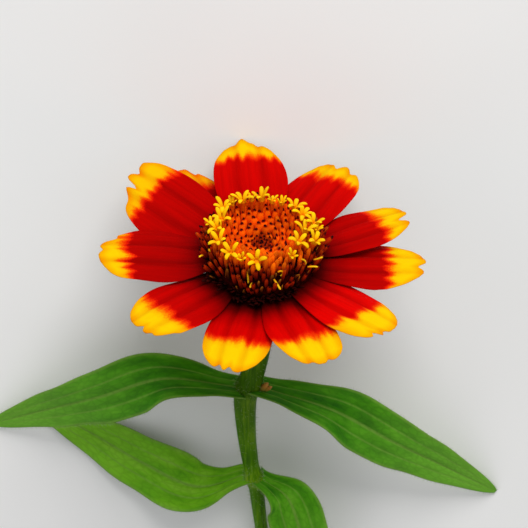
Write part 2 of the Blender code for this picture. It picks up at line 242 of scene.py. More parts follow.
@dataclass(frozen=True)
class PetalFace:
    """Fresh ray blade, upper face: velvety papillae with next to no gloss, so that the red is deep and even.

    The gold end runs into the red in ragged tongues and specks. The red darkens to near black at the claw,
    partly its own maroon and partly painted shade under the disc, and each blade's red is lighter or darker
    by its own tone and by painted light and shade. Painted shade darkens the two grooves, so that the gold
    turns to amber along them as well as at the rim.
    """

    name: str = "fresh_petal_upper_face"
    flame: Pair = (1.5, 7.0)  # width and length of a tongue of the gold, and of a fine streak in it
    streak: Pair = (0.35, 1.6)
    speck: float = 0.22
    vein: Pair = (0.55, 9.0)  # width and length of the fine lengthwise veins
    groove_place: float = 0.36
    groove_width: float = 0.2
    amber_rim: float = 1.8  # how far in from the rim the amber reaches
    meeting: Pair = (1.6, 4.4)  # how far past its line the gold starts to turn, and where it is all red
    gold_to_red: Stops = ((0.0, "#eabe02"), (0.28, "#eab002"), (0.46, "#e87c02"), (0.60, "#e64402"),
                          (0.78, "#d81802"), (1.0, "#c40601"))
    # Near black at the claw, partly the claw's own maroon and partly painted shade under the disc, to red at
    # the tip
    claw_to_tip: Stops = ((0.0, "#100000"), (0.15, "#200101"), (0.24, "#560101"), (0.33, "#940001"),
                          (0.46, "#b60100"), (1.0, "#c80400"))
    amber: str = "#f88c02"

    def make(self) -> bpy.types.Material:
        """Builds the material on the blade's own maps.

        Returns:
            The material.
        """
        material, node = start_finish(self.name, Roughness=0.6, Specular_IOR_Level=0.01)
        blade = node("UVMap", uv_map="blade")
        span = node("SeparateXYZ", {0: node("UVMap", uv_map="span")})
        rim = node("SeparateXYZ", {0: node("UVMap", uv_map="rim")})
        tone = node("SeparateXYZ", {0: node("UVMap", uv_map="tone")})

        # How far a point is past the gold's line, made ragged by tongues, streaks and specks
        tongues = node("TexNoise", {"Vector": node("Mapping", {0: blade, "Scale": per_mm(self.flame)}),
                                    "Scale": 1.0, "Detail": 1.0})
        streaks = node("TexNoise", {"Vector": node("Mapping", {0: blade, "Scale": per_mm(self.streak)}),
                                    "Scale": 1.0, "Detail": 3.0, "Roughness": 0.65})
        specks = node("TexNoise", {"Vector": blade, "Scale": 1 / self.speck, "Detail": 1.0})
        ragged = node("SeparateXYZ", {0: blade}).outputs[1]
        for pattern, strength in ((streaks, 0.9), (tongues, 4.0), (specks, 0.9)):
            ragged = node("Math", {0: pattern, 1: strength, 2: ragged}, operation="MULTIPLY_ADD")
        line = node("MapRange", {0: ragged, 1: self.meeting[0], 2: self.meeting[1]})

        # Painted shade in the two grooves, and the fine veins, which together darken the red and, faintly,
        # the gold
        furrow = node("Math", {0: span.outputs[0]}, operation="ABSOLUTE")
        furrow = node("Math", {0: furrow, 1: self.groove_place}, operation="SUBTRACT")
        furrow = node("Math", {0: furrow}, operation="ABSOLUTE")
        furrow = node("MapRange", {0: furrow, 1: 0.0, 2: self.groove_width, 3: 0.78, 4: 1.02}, **EASED)
        veins = node("TexNoise", {"Vector": node("Mapping", {0: blade, "Scale": per_mm(self.vein)}),
                                  "Scale": 1.0, "Detail": 2.0, "Roughness": 0.5})
        veined = node("MapRange", {0: veins, 1: 0.3, 2: 0.7, 3: 0.88, 4: 1.08})
        shade = node("Math", {0: furrow, 1: veined}, operation="MULTIPLY")
        faint = node("Mix", {0: 0.2, 2: 1.0, 3: shade})

        # The gold, with its amber at the rim, painted shade in amber along the grooves, and amber over the
        # whole of some blades
        edge = node("Math", {0: rim.outputs[0], 1: rim.outputs[1]}, operation="MINIMUM")
        warm = node("MapRange", {0: edge, 1: 0.0, 2: self.amber_rim, 3: 0.46, 4: 0.0}, **EASED)
        warm = node("Math", {0: warm, 1: tone.outputs[1]}, operation="ADD")
        grooved = node("MapRange", {0: furrow, 1: 0.78, 2: 1.02, 3: 0.24, 4: 0.0})
        warm = node("Math", {0: warm, 1: grooved}, operation="ADD", use_clamp=True)
        gold = node("ValToRGB", {0: line}, self.gold_to_red)
        gold = node("Mix", {0: warm, 6: gold, 7: linear(self.amber)}, **MULTIPLY)
        gold = node("Mix", {0: 1.0, 6: gold, 7: faint}, **MULTIPLY)

        # The red, darkened by the grooves' painted shade and set lighter or darker by the blade's own tone
        # and painted light
        red = node("ValToRGB", {0: span.outputs[1]}, self.claw_to_tip)
        deep = node("Math", {0: shade, 1: tone.outputs[0]}, operation="MULTIPLY")
        red = node("Mix", {0: 1.0, 6: red, 7: deep}, **MULTIPLY)

        join = node("MapRange", {0: line, 1: 0.78, 2: 1.0}, **EASED)
        colour = node("Mix", {0: join, 6: gold, 7: red}, **BLEND)
        relief = node("Bump", {"Strength": 0.35, "Distance": 0.05 * MM, "Height": veins})
        return close_finish(material, colour, relief)


@dataclass(frozen=True)
class PetalBack:
    """The same blade's back: duller and matt, straw yellow with green-brown veins and a blush of the red."""

    name: str = "fresh_petal_lower_face"
    vein: Pair = (0.5, 7.0)  # width and length of the veins
    straw_to_blush: Stops = ((0.0, "#e9b31a"), (0.45, "#d98a1c"), (1.0, "#b85a22"))
    claw_green: str = "#8d8a35"

    def make(self) -> bpy.types.Material:
        """Builds the material on the blade's own maps.

        Returns:
            The material.
        """
        material, node = start_finish(self.name, Roughness=0.65, Sheen_Weight=0.1, Specular_IOR_Level=0.25)
        blade = node("UVMap", uv_map="blade")
        past = node("SeparateXYZ", {0: blade}).outputs[1]
        span = node("SeparateXYZ", {0: node("UVMap", uv_map="span")})
        veins = node("TexNoise", {"Vector": node("Mapping", {0: blade, "Scale": per_mm(self.vein)}),
                                  "Scale": 1.0, "Detail": 2.0})
        ragged = node("Math", {0: veins, 1: 2.5, 2: past}, operation="MULTIPLY_ADD")
        line = node("MapRange", {0: ragged, 1: 0.2, 2: 2.6})
        blush = node("ValToRGB", {0: line}, self.straw_to_blush)
        green = node("MapRange", {0: span.outputs[1], 1: 0.02, 2: 0.5, 3: 0.85, 4: 0.0})
        colour = node("Mix", {0: green, 6: blush, 7: linear(self.claw_green)}, **BLEND)
        veined = node("MapRange", {0: veins, 1: 0.3, 2: 0.7, 3: 0.82, 4: 1.1})
        colour = node("Mix", {0: 1.0, 6: colour, 7: veined}, **MULTIPLY)
        relief = node("Bump", {"Strength": 0.4, "Distance": 0.06 * MM, "Height": veins})
        return close_finish(material, colour, relief)


@dataclass(frozen=True)
class RodTissue:
    """Small rod of plant tissue, such as a scale or a tube: matt, its colour runs along it and varies by rod.

    The rods' map holds a shade of their own across and the share of their length along.
    """

    name: str
    run: Stops
    vary: Pair = (0.8, 1.15)  # darkest and lightest rod
    roughness: float = 0.6
    grain: float = 0.12  # size of the papillae, drawn coarser than real ones so that they show

    def make(self) -> bpy.types.Material:
        """Builds the material on the rods' own map.

        Returns:
            The material.
        """
        material, node = start_finish(self.name, Roughness=self.roughness, Specular_IOR_Level=0.05)
        place = node("SeparateXYZ", {0: node("UVMap", uv_map="rod")})
        speckle = node("TexNoise", {"Vector": node("TexCoord").outputs["Object"],
                                    "Scale": 1 / (self.grain * MM), "Detail": 2.0})
        shift = node("MapRange", {0: speckle, 1: 0.3, 2: 0.7, 3: -0.04, 4: 0.04})
        share = node("Math", {0: place.outputs[1], 1: shift}, operation="ADD")
        run = node("ValToRGB", {0: share}, self.run)
        shade = node("MapRange", {0: place.outputs[0], 3: self.vary[0], 4: self.vary[1]})
        colour = node("Mix", {0: 1.0, 6: run, 7: shade}, **MULTIPLY)
        relief = node("Bump", {"Strength": 0.35, "Distance": 0.04 * MM, "Height": speckle})
        return close_finish(material, colour, relief)


# The bowl's scales: glowing orange, each with a sharp maroon-black tip that dots the bowl
PALEA = RodTissue("ripe_palea_with_dark_tip", (
    (0.0, "#8a1c02"), (0.3, "#dc4402"), (0.55, "#f65c02"), (0.82, "#fc6a02"), (0.86, "#c42402"),
    (0.895, "#480508"), (1.0, "#2c0205")), vary=(0.82, 1.14))
# The pit's young scales: darker and redder, packed so that their tips make a dark eye
PIT_PALEA = RodTissue("young_palea_of_the_pit", (
    (0.0, "#380501"), (0.5, "#9c2604"), (0.80, "#b83404"), (0.88, "#300307"), (1.0, "#180104")))
# The wall's scales: brick red on the crest and near black lower down, where the shade is painted
WALL_PALEA = RodTissue("outer_palea_with_dark_tip", (
    (0.0, "#120101"), (0.3, "#5e0e02"), (0.62, "#b82a04"), (0.84, "#d43604"), (0.90, "#4a0507"),
    (1.0, "#200205")), vary=(0.45, 1.25))
# Spent tubes between them: the same brick red, near black at the foot with the same painted shade, and an
# orange mouth
CLOSED_TUBE = RodTissue("faded_disc_floret_tube", (
    (0.0, "#120101"), (0.3, "#681002"), (0.6, "#bc2c03"), (0.85, "#da4204"), (0.95, "#e05206"),
    (1.0, "#6a1604")), vary=(0.4, 1.25))
# Closed buds on the bowl's near rim: plain bright orange, without a dark tip
CLOSED_BUD = RodTissue("closed_disc_floret_bud", (
    (0.0, "#5c1002"), (0.35, "#c83c02"), (0.6, "#f05a02"), (0.9, "#fa7402"), (1.0, "#f06002")),
    vary=(0.65, 1.15))
# Dark scales on the petals' claws as painted shade: almost black, with a breath of maroon
DARK_SCALE = RodTissue("near_black_scale_as_painted_shade", (
    (0.0, "#080001"), (0.5, "#180201"), (0.9, "#3a0502"), (1.0, "#280401")), vary=(0.4, 1.3), roughness=0.8)
# Withered florets: dry umber-brown bits with tan ends
WITHERED = RodTissue("withered_floret_tissue", (
    (0.0, "#140401"), (0.4, "#3e1606"), (0.75, "#723208"), (1.0, "#9c5c12")), vary=(0.5, 1.2), roughness=0.75)
# Open florets: an orange tube that runs to clear yellow lobes with a soft sparkle of papillae
OPEN_FLORET = RodTissue("open_disc_floret_tissue", (
    (0.0, "#cc3c02"), (0.22, "#ea6202"), (0.38, "#f49202"), (0.56, "#f8b802"), (1.0, "#fcc802")),
    vary=(0.88, 1.1), grain=0.09)
# Style arms: bright yellow threads
STYLE_ARM = RodTissue("style_arm_tissue", ((0.0, "#e08a06"), (0.4, "#f2b808"), (1.0, "#fbd022")),
                      vary=(0.85, 1.1), grain=0.08)
# Hairs of stem and leaves: pale and slightly glossy, they give the green its light edge
PALE_HAIR = RodTissue("stiff_pale_plant_hair", ((0.0, "#6f9440"), (1.0, "#cddcb0")), roughness=0.4)
# Fringe of the bracts: a fine dark brown line round each
DARK_FRINGE = RodTissue("dark_bract_fringe", ((0.0, "#3c3a14"), (1.0, "#6b5526")))
# Bud in the leaf's axil: olive that turns to a dull tan tip
AXIL_BUD = RodTissue("axillary_bud_scales", ((0.0, "#6a7a2c"), (0.5, "#a8742c"), (1.0, "#c08a4a")), grain=0.2)


@dataclass(frozen=True)
class LeafFace:
    """Fresh zinnia leaf: rough, puckered blade with little gloss, yellower towards its tip.

    Its midrib, its two side veins and its margin are paler, and a fine net of veins darkens the green.
    """

    name: str = "fresh_leaf_upper_face"
    deep: str = "#1e6002"
    plain: str = "#3a8404"
    light: str = "#5ca41c"
    outer: str = "#74b034"  # the yellower green towards the tip
    side_vein: float = 0.46  # where the side veins run, as a share of the half width
    vein: str = "#76a03c"
    mottle: Pair = (0.5, 0.14)  # mottles per millimetre, across and along
    cell: Pair = (0.9, 1.6)  # size of a cell of the net of veins
    wart: float = 0.3125

    def make(self) -> bpy.types.Material:
        """Builds the material on the leaf's own maps.

        Returns:
            The material.
        """
        material, node = start_finish(self.name, Roughness=0.58, Specular_IOR_Level=0.08)
        span = node("SeparateXYZ", {0: node("UVMap", uv_map="span")})
        sheet = node("UVMap", uv_map="sheet")
        patch = node("TexNoise", {"Vector": node("Mapping", {0: sheet, "Scale": (*self.mottle, 1)}),
                                  "Scale": 1.0, "Detail": 3.0})
        ground = node("ValToRGB", {0: patch}, ((0.28, self.deep), (0.52, self.plain), (0.78, self.light)))
        outer = node("MapRange", {0: span.outputs[1], 1: 0.28, 2: 0.85, 3: 0.0, 4: 0.8})
        ground = node("Mix", {0: outer, 6: ground, 7: linear(self.outer)}, **BLEND)

        # The pale lines: the midrib, the side veins and the margin
        side = node("Math", {0: span.outputs[0]}, operation="ABSOLUTE")
        lateral = node("Math", {0: side, 1: self.side_vein}, operation="SUBTRACT")
        lateral = node("Math", {0: lateral}, operation="ABSOLUTE")
        lateral = node("MapRange", {0: lateral, 1: 0.004, 2: 0.07, 3: 0.5, 4: 0.0}, **EASED)
        midrib = node("MapRange", {0: side, 1: 0.01, 2: 0.11, 3: 0.75, 4: 0.0}, **EASED)
        margin = node("MapRange", {0: side, 1: 0.86, 2: 1.0, 3: 0.0, 4: 0.8}, **EASED)
        veins = node("Math", {0: midrib, 1: lateral}, operation="MAXIMUM")
        veins = node("Math", {0: veins, 1: margin}, operation="MAXIMUM")
        colour = node("Mix", {0: veins, 6: ground, 7: linear(self.vein)}, **BLEND)

        net = node("TexVoronoi", {"Vector": node("Mapping", {0: sheet, "Scale": per_mm(self.cell)}),
                                  "Scale": 1.0}, feature="DISTANCE_TO_EDGE")
        cells = node("MapRange", {0: net, 1: 0.0, 2: 0.2, 3: 0.88, 4: 1.03})
        colour = node("Mix", {0: 1.0, 6: colour, 7: cells}, **MULTIPLY)
        warts = node("TexNoise", {"Vector": sheet, "Scale": 1 / self.wart, "Detail": 2.0})
        height = node("Math", {0: warts, 1: 0.6, 2: cells}, operation="MULTIPLY_ADD")
        relief = node("Bump", {"Strength": 0.55, "Distance": 0.12 * MM, "Height": height})
        return close_finish(material, colour, relief)


LEAF_UPPER = LeafFace()
# The leaves' undersides: greyer and paler, as on most soft leaves
LEAF_LOWER = LeafFace("fresh_leaf_lower_face", "#44692a", "#5a7f3c", "#769858", "#6a8e48")
# The lower pair, a lit and a shaded copy of the young leaves' finish: one leaf a bright, thin yellow-green
# with painted light, and the other, in painted shade, between that and the upper pair's green
LEAF_LIT = LeafFace("young_leaf_upper_face_painted_lit", "#468c04", "#68aa12", "#82b830", "#7cba2c")
LEAF_HALF_IN_PAINTED_SHADE = LeafFace("half_grown_leaf_face_painted_shade", "#2c7004", "#4c940c", "#6cac28")
# The bracts' outer faces: a dull mid green, as small leaves
BRACT_BACK = LeafFace("fresh_bract_back", "#3a5a18", "#4f7426", "#73944a", "#567a2c", 0.5)


@dataclass(frozen=True)
class StemSkin:
    """Fresh green stem: fine lengthwise ribs, lighter on their crests, under a coat of short hairs."""

    name: str = "fresh_stem_skin"
    rib: float = 0.3  # width and length of a rib's streak, and size of a lighter patch
    rib_length: float = 7
    patch: float = 6
    greens: Stops = ((0.3, "#2a5000"), (0.5, "#426c00"), (0.7, "#6a8c12"))
    painted_head_shade: tuple = (-6, 12, 1.4, 0.82)  # painted shade of the head: from this height to that, the skin goes from lighter to darker

    def make(self) -> bpy.types.Material:
        """Builds the material on object coordinates, turned so that the pattern runs along the stem.

        Returns:
            The material.
        """
        material, node = start_finish(self.name, Roughness=0.5, Specular_IOR_Level=0.06)
        upright = node("Mapping", {0: node("TexCoord").outputs["Object"],
                                   "Rotation": (math.radians(90 - RECLINE), 0, 0)})
        drawn = node("Mapping", {0: upright, "Scale": (
            1 / (self.rib * MM), 1 / (self.rib * MM), 1 / (self.rib_length * MM))})
        ribs = node("TexNoise", {"Vector": drawn, "Scale": 1.0, "Detail": 2.0})
        patch = node("TexNoise", {"Vector": upright, "Scale": 1 / (self.patch * MM), "Detail": 2.0})
        half = node("Math", {0: ribs, 1: 0.5}, operation="MULTIPLY")
        mixed = node("Math", {0: patch, 1: 0.5, 2: half}, operation="MULTIPLY_ADD")
        colour = node("ValToRGB", {0: mixed}, self.greens)
        # Painted shade: the skin darkens up towards the head
        low, high, lighter, darker = self.painted_head_shade
        height = node("SeparateXYZ", {0: upright}).outputs[2]
        light = node("MapRange", {0: height, 1: low * MM, 2: high * MM, 3: lighter, 4: darker})
        colour = node("Mix", {0: 1.0, 6: colour, 7: light}, **MULTIPLY)
        relief = node("Bump", {"Strength": 0.5, "Distance": 0.08 * MM, "Height": ribs})
        return close_finish(material, colour, relief)


@dataclass(frozen=True)
class PlainTissue:
    """Soft even tissue or board with a faint mottle, such as a stem's cut flesh or the studio's floor."""

    name: str
    shades: Stops
    mottle: float  # size of the mottle
    detail: float = 2.0
    roughness: float = 0.6
    gloss: float = 0.3

    def make(self) -> bpy.types.Material:
        """Builds the material on object coordinates.

        Returns:
            The material.
        """
        material, node = start_finish(self.name, Roughness=self.roughness, Specular_IOR_Level=self.gloss)
        mottle = node("TexNoise", {"Vector": node("TexCoord").outputs["Object"],
                                   "Scale": 1 / (self.mottle * MM), "Detail": self.detail})
        return close_finish(material, node("ValToRGB", {0: mottle}, self.shades))


# The ground between the disc's scales: near-black maroon, matt, as painted shade so that the gaps read as
# deep
DARK_BED = PlainTissue("disc_bed_dark_with_painted_shade", ((0.3, "#180101"), (0.6, "#360401"), (0.8, "#560b02")), 0.6, 3.0,
                       0.8, 0.02)
# The cut end: moist and smooth, pale green flesh round a paler pith
CUT_FLESH = PlainTissue("freshly_cut_stem_flesh", ((0.3, "#7d9a45"), (0.7, "#a3ba68")), 0.3, roughness=0.35)
CUT_PITH = PlainTissue("freshly_cut_stem_pith", ((0.3, "#c8d1a4"), (0.7, "#e2e6c8")), 0.25, roughness=0.4)
# The surface it lies on: painted card, dull and almost white
PALE_BOARD = PlainTissue("pale_matt_board", ((0.3, "#efeeeb"), (0.7, "#f4f3f0")), 60, roughness=0.85)


def turned(degrees: float, axis: str = "Z") -> Matrix:
    """A turn about an axis."""
    return Matrix.Rotation(math.radians(degrees), 4, axis)


def ring_at(height: float, radius: float) -> Matrix:
    """The matrix that takes a unit circle to a level ring."""
    return Matrix.Translation((0, 0, height)) @ Matrix.Diagonal((radius, radius, 1, 1))


def paint(faces: Iterable[bmesh.types.BMFace], layer: bmesh.types.BMLayerItem,
          value: Callable[[bmesh.types.BMVert], Pair]) -> None:
    """Gives every corner of the faces its vertex's place on a map.

    Args:
        faces: The faces.
        layer: The map.
        value: Gives a vertex's place.
    """
    for face in faces:
        for loop in face.loops:
            loop[layer].uv = value(loop.vert)


def bend_grid(columns: int, rows: int, place: Callable[[float, float], Vector], maps: dict[str, Painter],
              weight: Callable[[float, float], float], crowd: float = 0.6) -> bmesh.types.BMesh:
    """A grid bent to a blade, with its maps and its upper face outwards.

    Args:
        columns: Faces across.
        rows: Faces along.
        place: Gives a point in millimetres from the place across, -1 to 1, and along, 0 to 1.
        maps: Gives each map's coordinates from the same two numbers.
        weight: Gives the thickness there, as a share of the blade's.
        crowd: How much closer the columns stand at the margins, from 0 to 1.

    Returns:
        The blade's middle surface.
    """
    work = bmesh.new()
    bmesh.ops.create_grid(work, x_segments=columns, y_segments=rows, size=1.0)
    body = work.verts.layers.deform.new()
    spots = {}  # each vertex's place across and along
    for vert in work.verts:
        across = (1 - crowd) * vert.co.x + crowd * math.sin(vert.co.x * math.pi / 2)
        spots[vert] = (across, (vert.co.y + 1) / 2)
    for name, painter in maps.items():
        drawn = {vert: painter(*spot) for vert, spot in spots.items()}
        paint(work.faces, work.loops.layers.uv.new(name), drawn.get)
    for vert, spot in spots.items():
        vert.co = place(*spot)
        vert[body][0] = weight(*spot)
    bmesh.ops.reverse_faces(work, faces=work.faces)
    return work


def loft(work: bmesh.types.BMesh, sides: int, stations: Sequence[Matrix], shade: float = 0.5,
         span: Pair = (0.0, 1.0)) -> None:
    """Draws a closed round body through its stations and paints its rod map.

    Args:
        work: The mesh that it is added to.
        sides: Corners of each ring.
        stations: For each ring, the matrix that takes a unit circle to it.
        shade: The body's own shade.
        span: The share of the rod's length at the first and the last ring.
    """
    layer = work.loops.layers.uv.get("rod") or work.loops.layers.uv.new("rod")
    old = set(work.faces)
    ring = bmesh.ops.create_circle(work, cap_ends=True, segments=sides, radius=1.0,
                                   matrix=stations[0])["verts"]
    edges = list({edge for vert in ring for edge in vert.link_edges})
    rises = {vert: span[0] for vert in ring}
    for number, (before, here) in enumerate(zip(stations, stations[1:]), start=1):
        grown = bmesh.ops.extrude_edge_only(work, edges=edges)["geom"]
        ring = [item for item in grown if isinstance(item, bmesh.types.BMVert)]
        edges = [item for item in grown if isinstance(item, bmesh.types.BMEdge)]
        bmesh.ops.transform(work, matrix=here @ before.inverted(), verts=ring)
        share = span[0] + (span[1] - span[0]) * number / (len(stations) - 1)
        rises.update((vert, share) for vert in ring)
    bmesh.ops.contextual_create(work, geom=edges)
    paint((face for face in work.faces if face not in old), layer, lambda vert: (shade, rises[vert]))


def aim(direction: Vector, outwards: Vector) -> Matrix:
    """The turn that takes +Z to a direction and keeps +X as near as it can to another.

    Args:
        direction: Where +Z goes.
        outwards: Where +X goes, as nearly as it can.

    Returns:
        The turn.
    """
    z = direction.normalized()
    x = (outwards - z * outwards.dot(z)).normalized()
    return Matrix((x, z.cross(x), z)).transposed().to_4x4()


def path_stations(points: Sequence[Vector], sizes: Sequence[Pair], flat: Vector) -> list[Matrix]:
    """Stations for a bent rod.

    Args:
        points: The rod's midline.
        sizes: Its half width and half depth at each point.
        flat: The direction in which the depth lies.

    Returns:
        The stations, each across the midline there.
    """
    stations = []
    for number, (point, (wide, deep)) in enumerate(zip(points, sizes)):
        run = points[min(number + 1, len(points) - 1)] - points[max(number - 1, 0)]
        stations.append(Matrix.Translation(point) @ aim(run, flat) @ Matrix.Diagonal((deep, wide, 1.0, 1.0)))
    return stations


def repeat_rod(work: bmesh.types.BMesh, places: Iterable[tuple[Matrix, float]]) -> None:
    """Repeats the rod that the mesh holds at each place, and takes the first one away.

    Args:
        work: The mesh with its one rod.
        places: Each rod's place and its own shade.
    """
    layer = work.loops.layers.uv["rod"]
    first = work.verts[:] + work.edges[:] + work.faces[:]
    spent = work.verts[:]
    for place, shade in places:
        copied = bmesh.ops.duplicate(work, geom=first)["geom"]
        bmesh.ops.transform(work, matrix=place,
                            verts=[item for item in copied if isinstance(item, bmesh.types.BMVert)])
        for face in copied:
            if isinstance(face, bmesh.types.BMFace):
                for loop in face.loops:
                    loop[layer].uv.x += shade
    bmesh.ops.delete(work, geom=spent, context="VERTS")


def grow_hairs(name: str, roots: Iterable[tuple[Vector, Vector]], finish: bpy.types.Material, slot: Slot,
               place: Matrix, length: float, thickness: float, seed: int) -> bpy.types.Object:
    """Grows a coat of short stiff hairs as one piece.

    Args:
        name: The piece's name.
        roots: Each hair's root and rough direction, in millimetres in the place's own frame.
        finish: The hairs' finish.
        slot: The record's slot.
        place: Takes those millimetres to the scene.
        length: A hair's mean length.
        thickness: Its radius at the root.
        seed: For the hairs' different lengths and directions.

    Returns:
        The piece.
    """
    sides, tip_radius, stray_share, lengths = 3, 0.006, 0.28, (0.6, 1.35)
    twist = Vector((0.31, 0.9, 0.2))
    chance = random.Random(seed)
    work = bmesh.new()
    loft(work, sides, [ring_at(0.0, thickness), ring_at(1.0, tip_radius)], 0.0)
    bmesh.ops.recalc_face_normals(work, faces=work.faces)
    spots = []
    for root, direction in roots:
        stray = Vector((chance.gauss(0, 1), chance.gauss(0, 1), chance.gauss(0, 1))) * stray_share
        tall = length * chance.uniform(*lengths)
        turn = aim(direction.normalized() + stray, twist)
        spots.append((Matrix.Translation(root) @ turn @ Matrix.Diagonal((1, 1, tall, 1)), chance.random()))
    repeat_rod(work, spots)
    return add_piece(name, work, [finish], slot, place)


def add_piece(name: str, work: bmesh.types.BMesh, finishes: Sequence[bpy.types.Material], slot: Slot,
              place: Matrix, replaced: Sequence[str] = ()) -> bpy.types.Object:
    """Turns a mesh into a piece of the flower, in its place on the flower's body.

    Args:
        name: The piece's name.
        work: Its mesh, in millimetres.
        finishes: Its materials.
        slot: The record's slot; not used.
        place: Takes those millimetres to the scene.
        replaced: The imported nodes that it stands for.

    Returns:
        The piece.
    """
    bmesh.ops.transform(work, matrix=place, verts=work.verts)
    mesh = bpy.data.meshes.new(name)
    work.to_mesh(mesh)
    work.free()
    for finish in finishes:
        mesh.materials.append(finish)
    mesh.shade_smooth()
    piece = bpy.data.objects.new(name, mesh)
    bpy.context.collection.objects.link(piece)
    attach(piece, BODY)
    if replaced:
        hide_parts(*replaced)
    LOG.info("%s: %d faces", name, len(mesh.polygons))
    return piece


def thicken(piece: bpy.types.Object, thickness: float, margin_share: float = 0.4) -> None:
    """Gives a blade its thickness, half to each side, with its second finish below.

    Args:
        piece: The blade's middle surface.
        thickness: Its thickness in millimetres.
        margin_share: How much of it is left at the margins.
    """
    piece.vertex_groups.new(name="body")
    solid = piece.modifiers.new("thickness", "SOLIDIFY")
    solid.thickness = thickness * MM
    solid.offset = 0.0
    solid.vertex_group = "body"
    solid.thickness_vertex_group = margin_share
    solid.material_offset = 1


@dataclass(frozen=True)
class Ray:
    """One ray floret: where it points, its size, its angles, its toothed tip and its gold end."""

    azimuth: float
    reach: float  # from the head's axis to the tip
    width: float
    rise: float  # slope of the claw
    bend: float  # how much the slope has lost at the tip
    roll: float  # turn about its own length
    lift: float  # height of the claw
    round_end: float  # how far the tip's corners fall back, as a share of the length
    skew: float  # how much further the counter-clockwise corner falls back
    notches: tuple  # each as place across, depth and half width
    gold: float  # depth of the gold end on the midline
    gold_tilt: float  # how much deeper it is at the counter-clockwise side
    painted_claw_shade: float  # how much further out the claw's near black, painted shade under the disc, reaches, as a share of the length
    tone: float  # how light its red is, partly its own tone and partly painted light and shade on its side of the head
    amber: float = 0.0  # how much its gold leans to amber


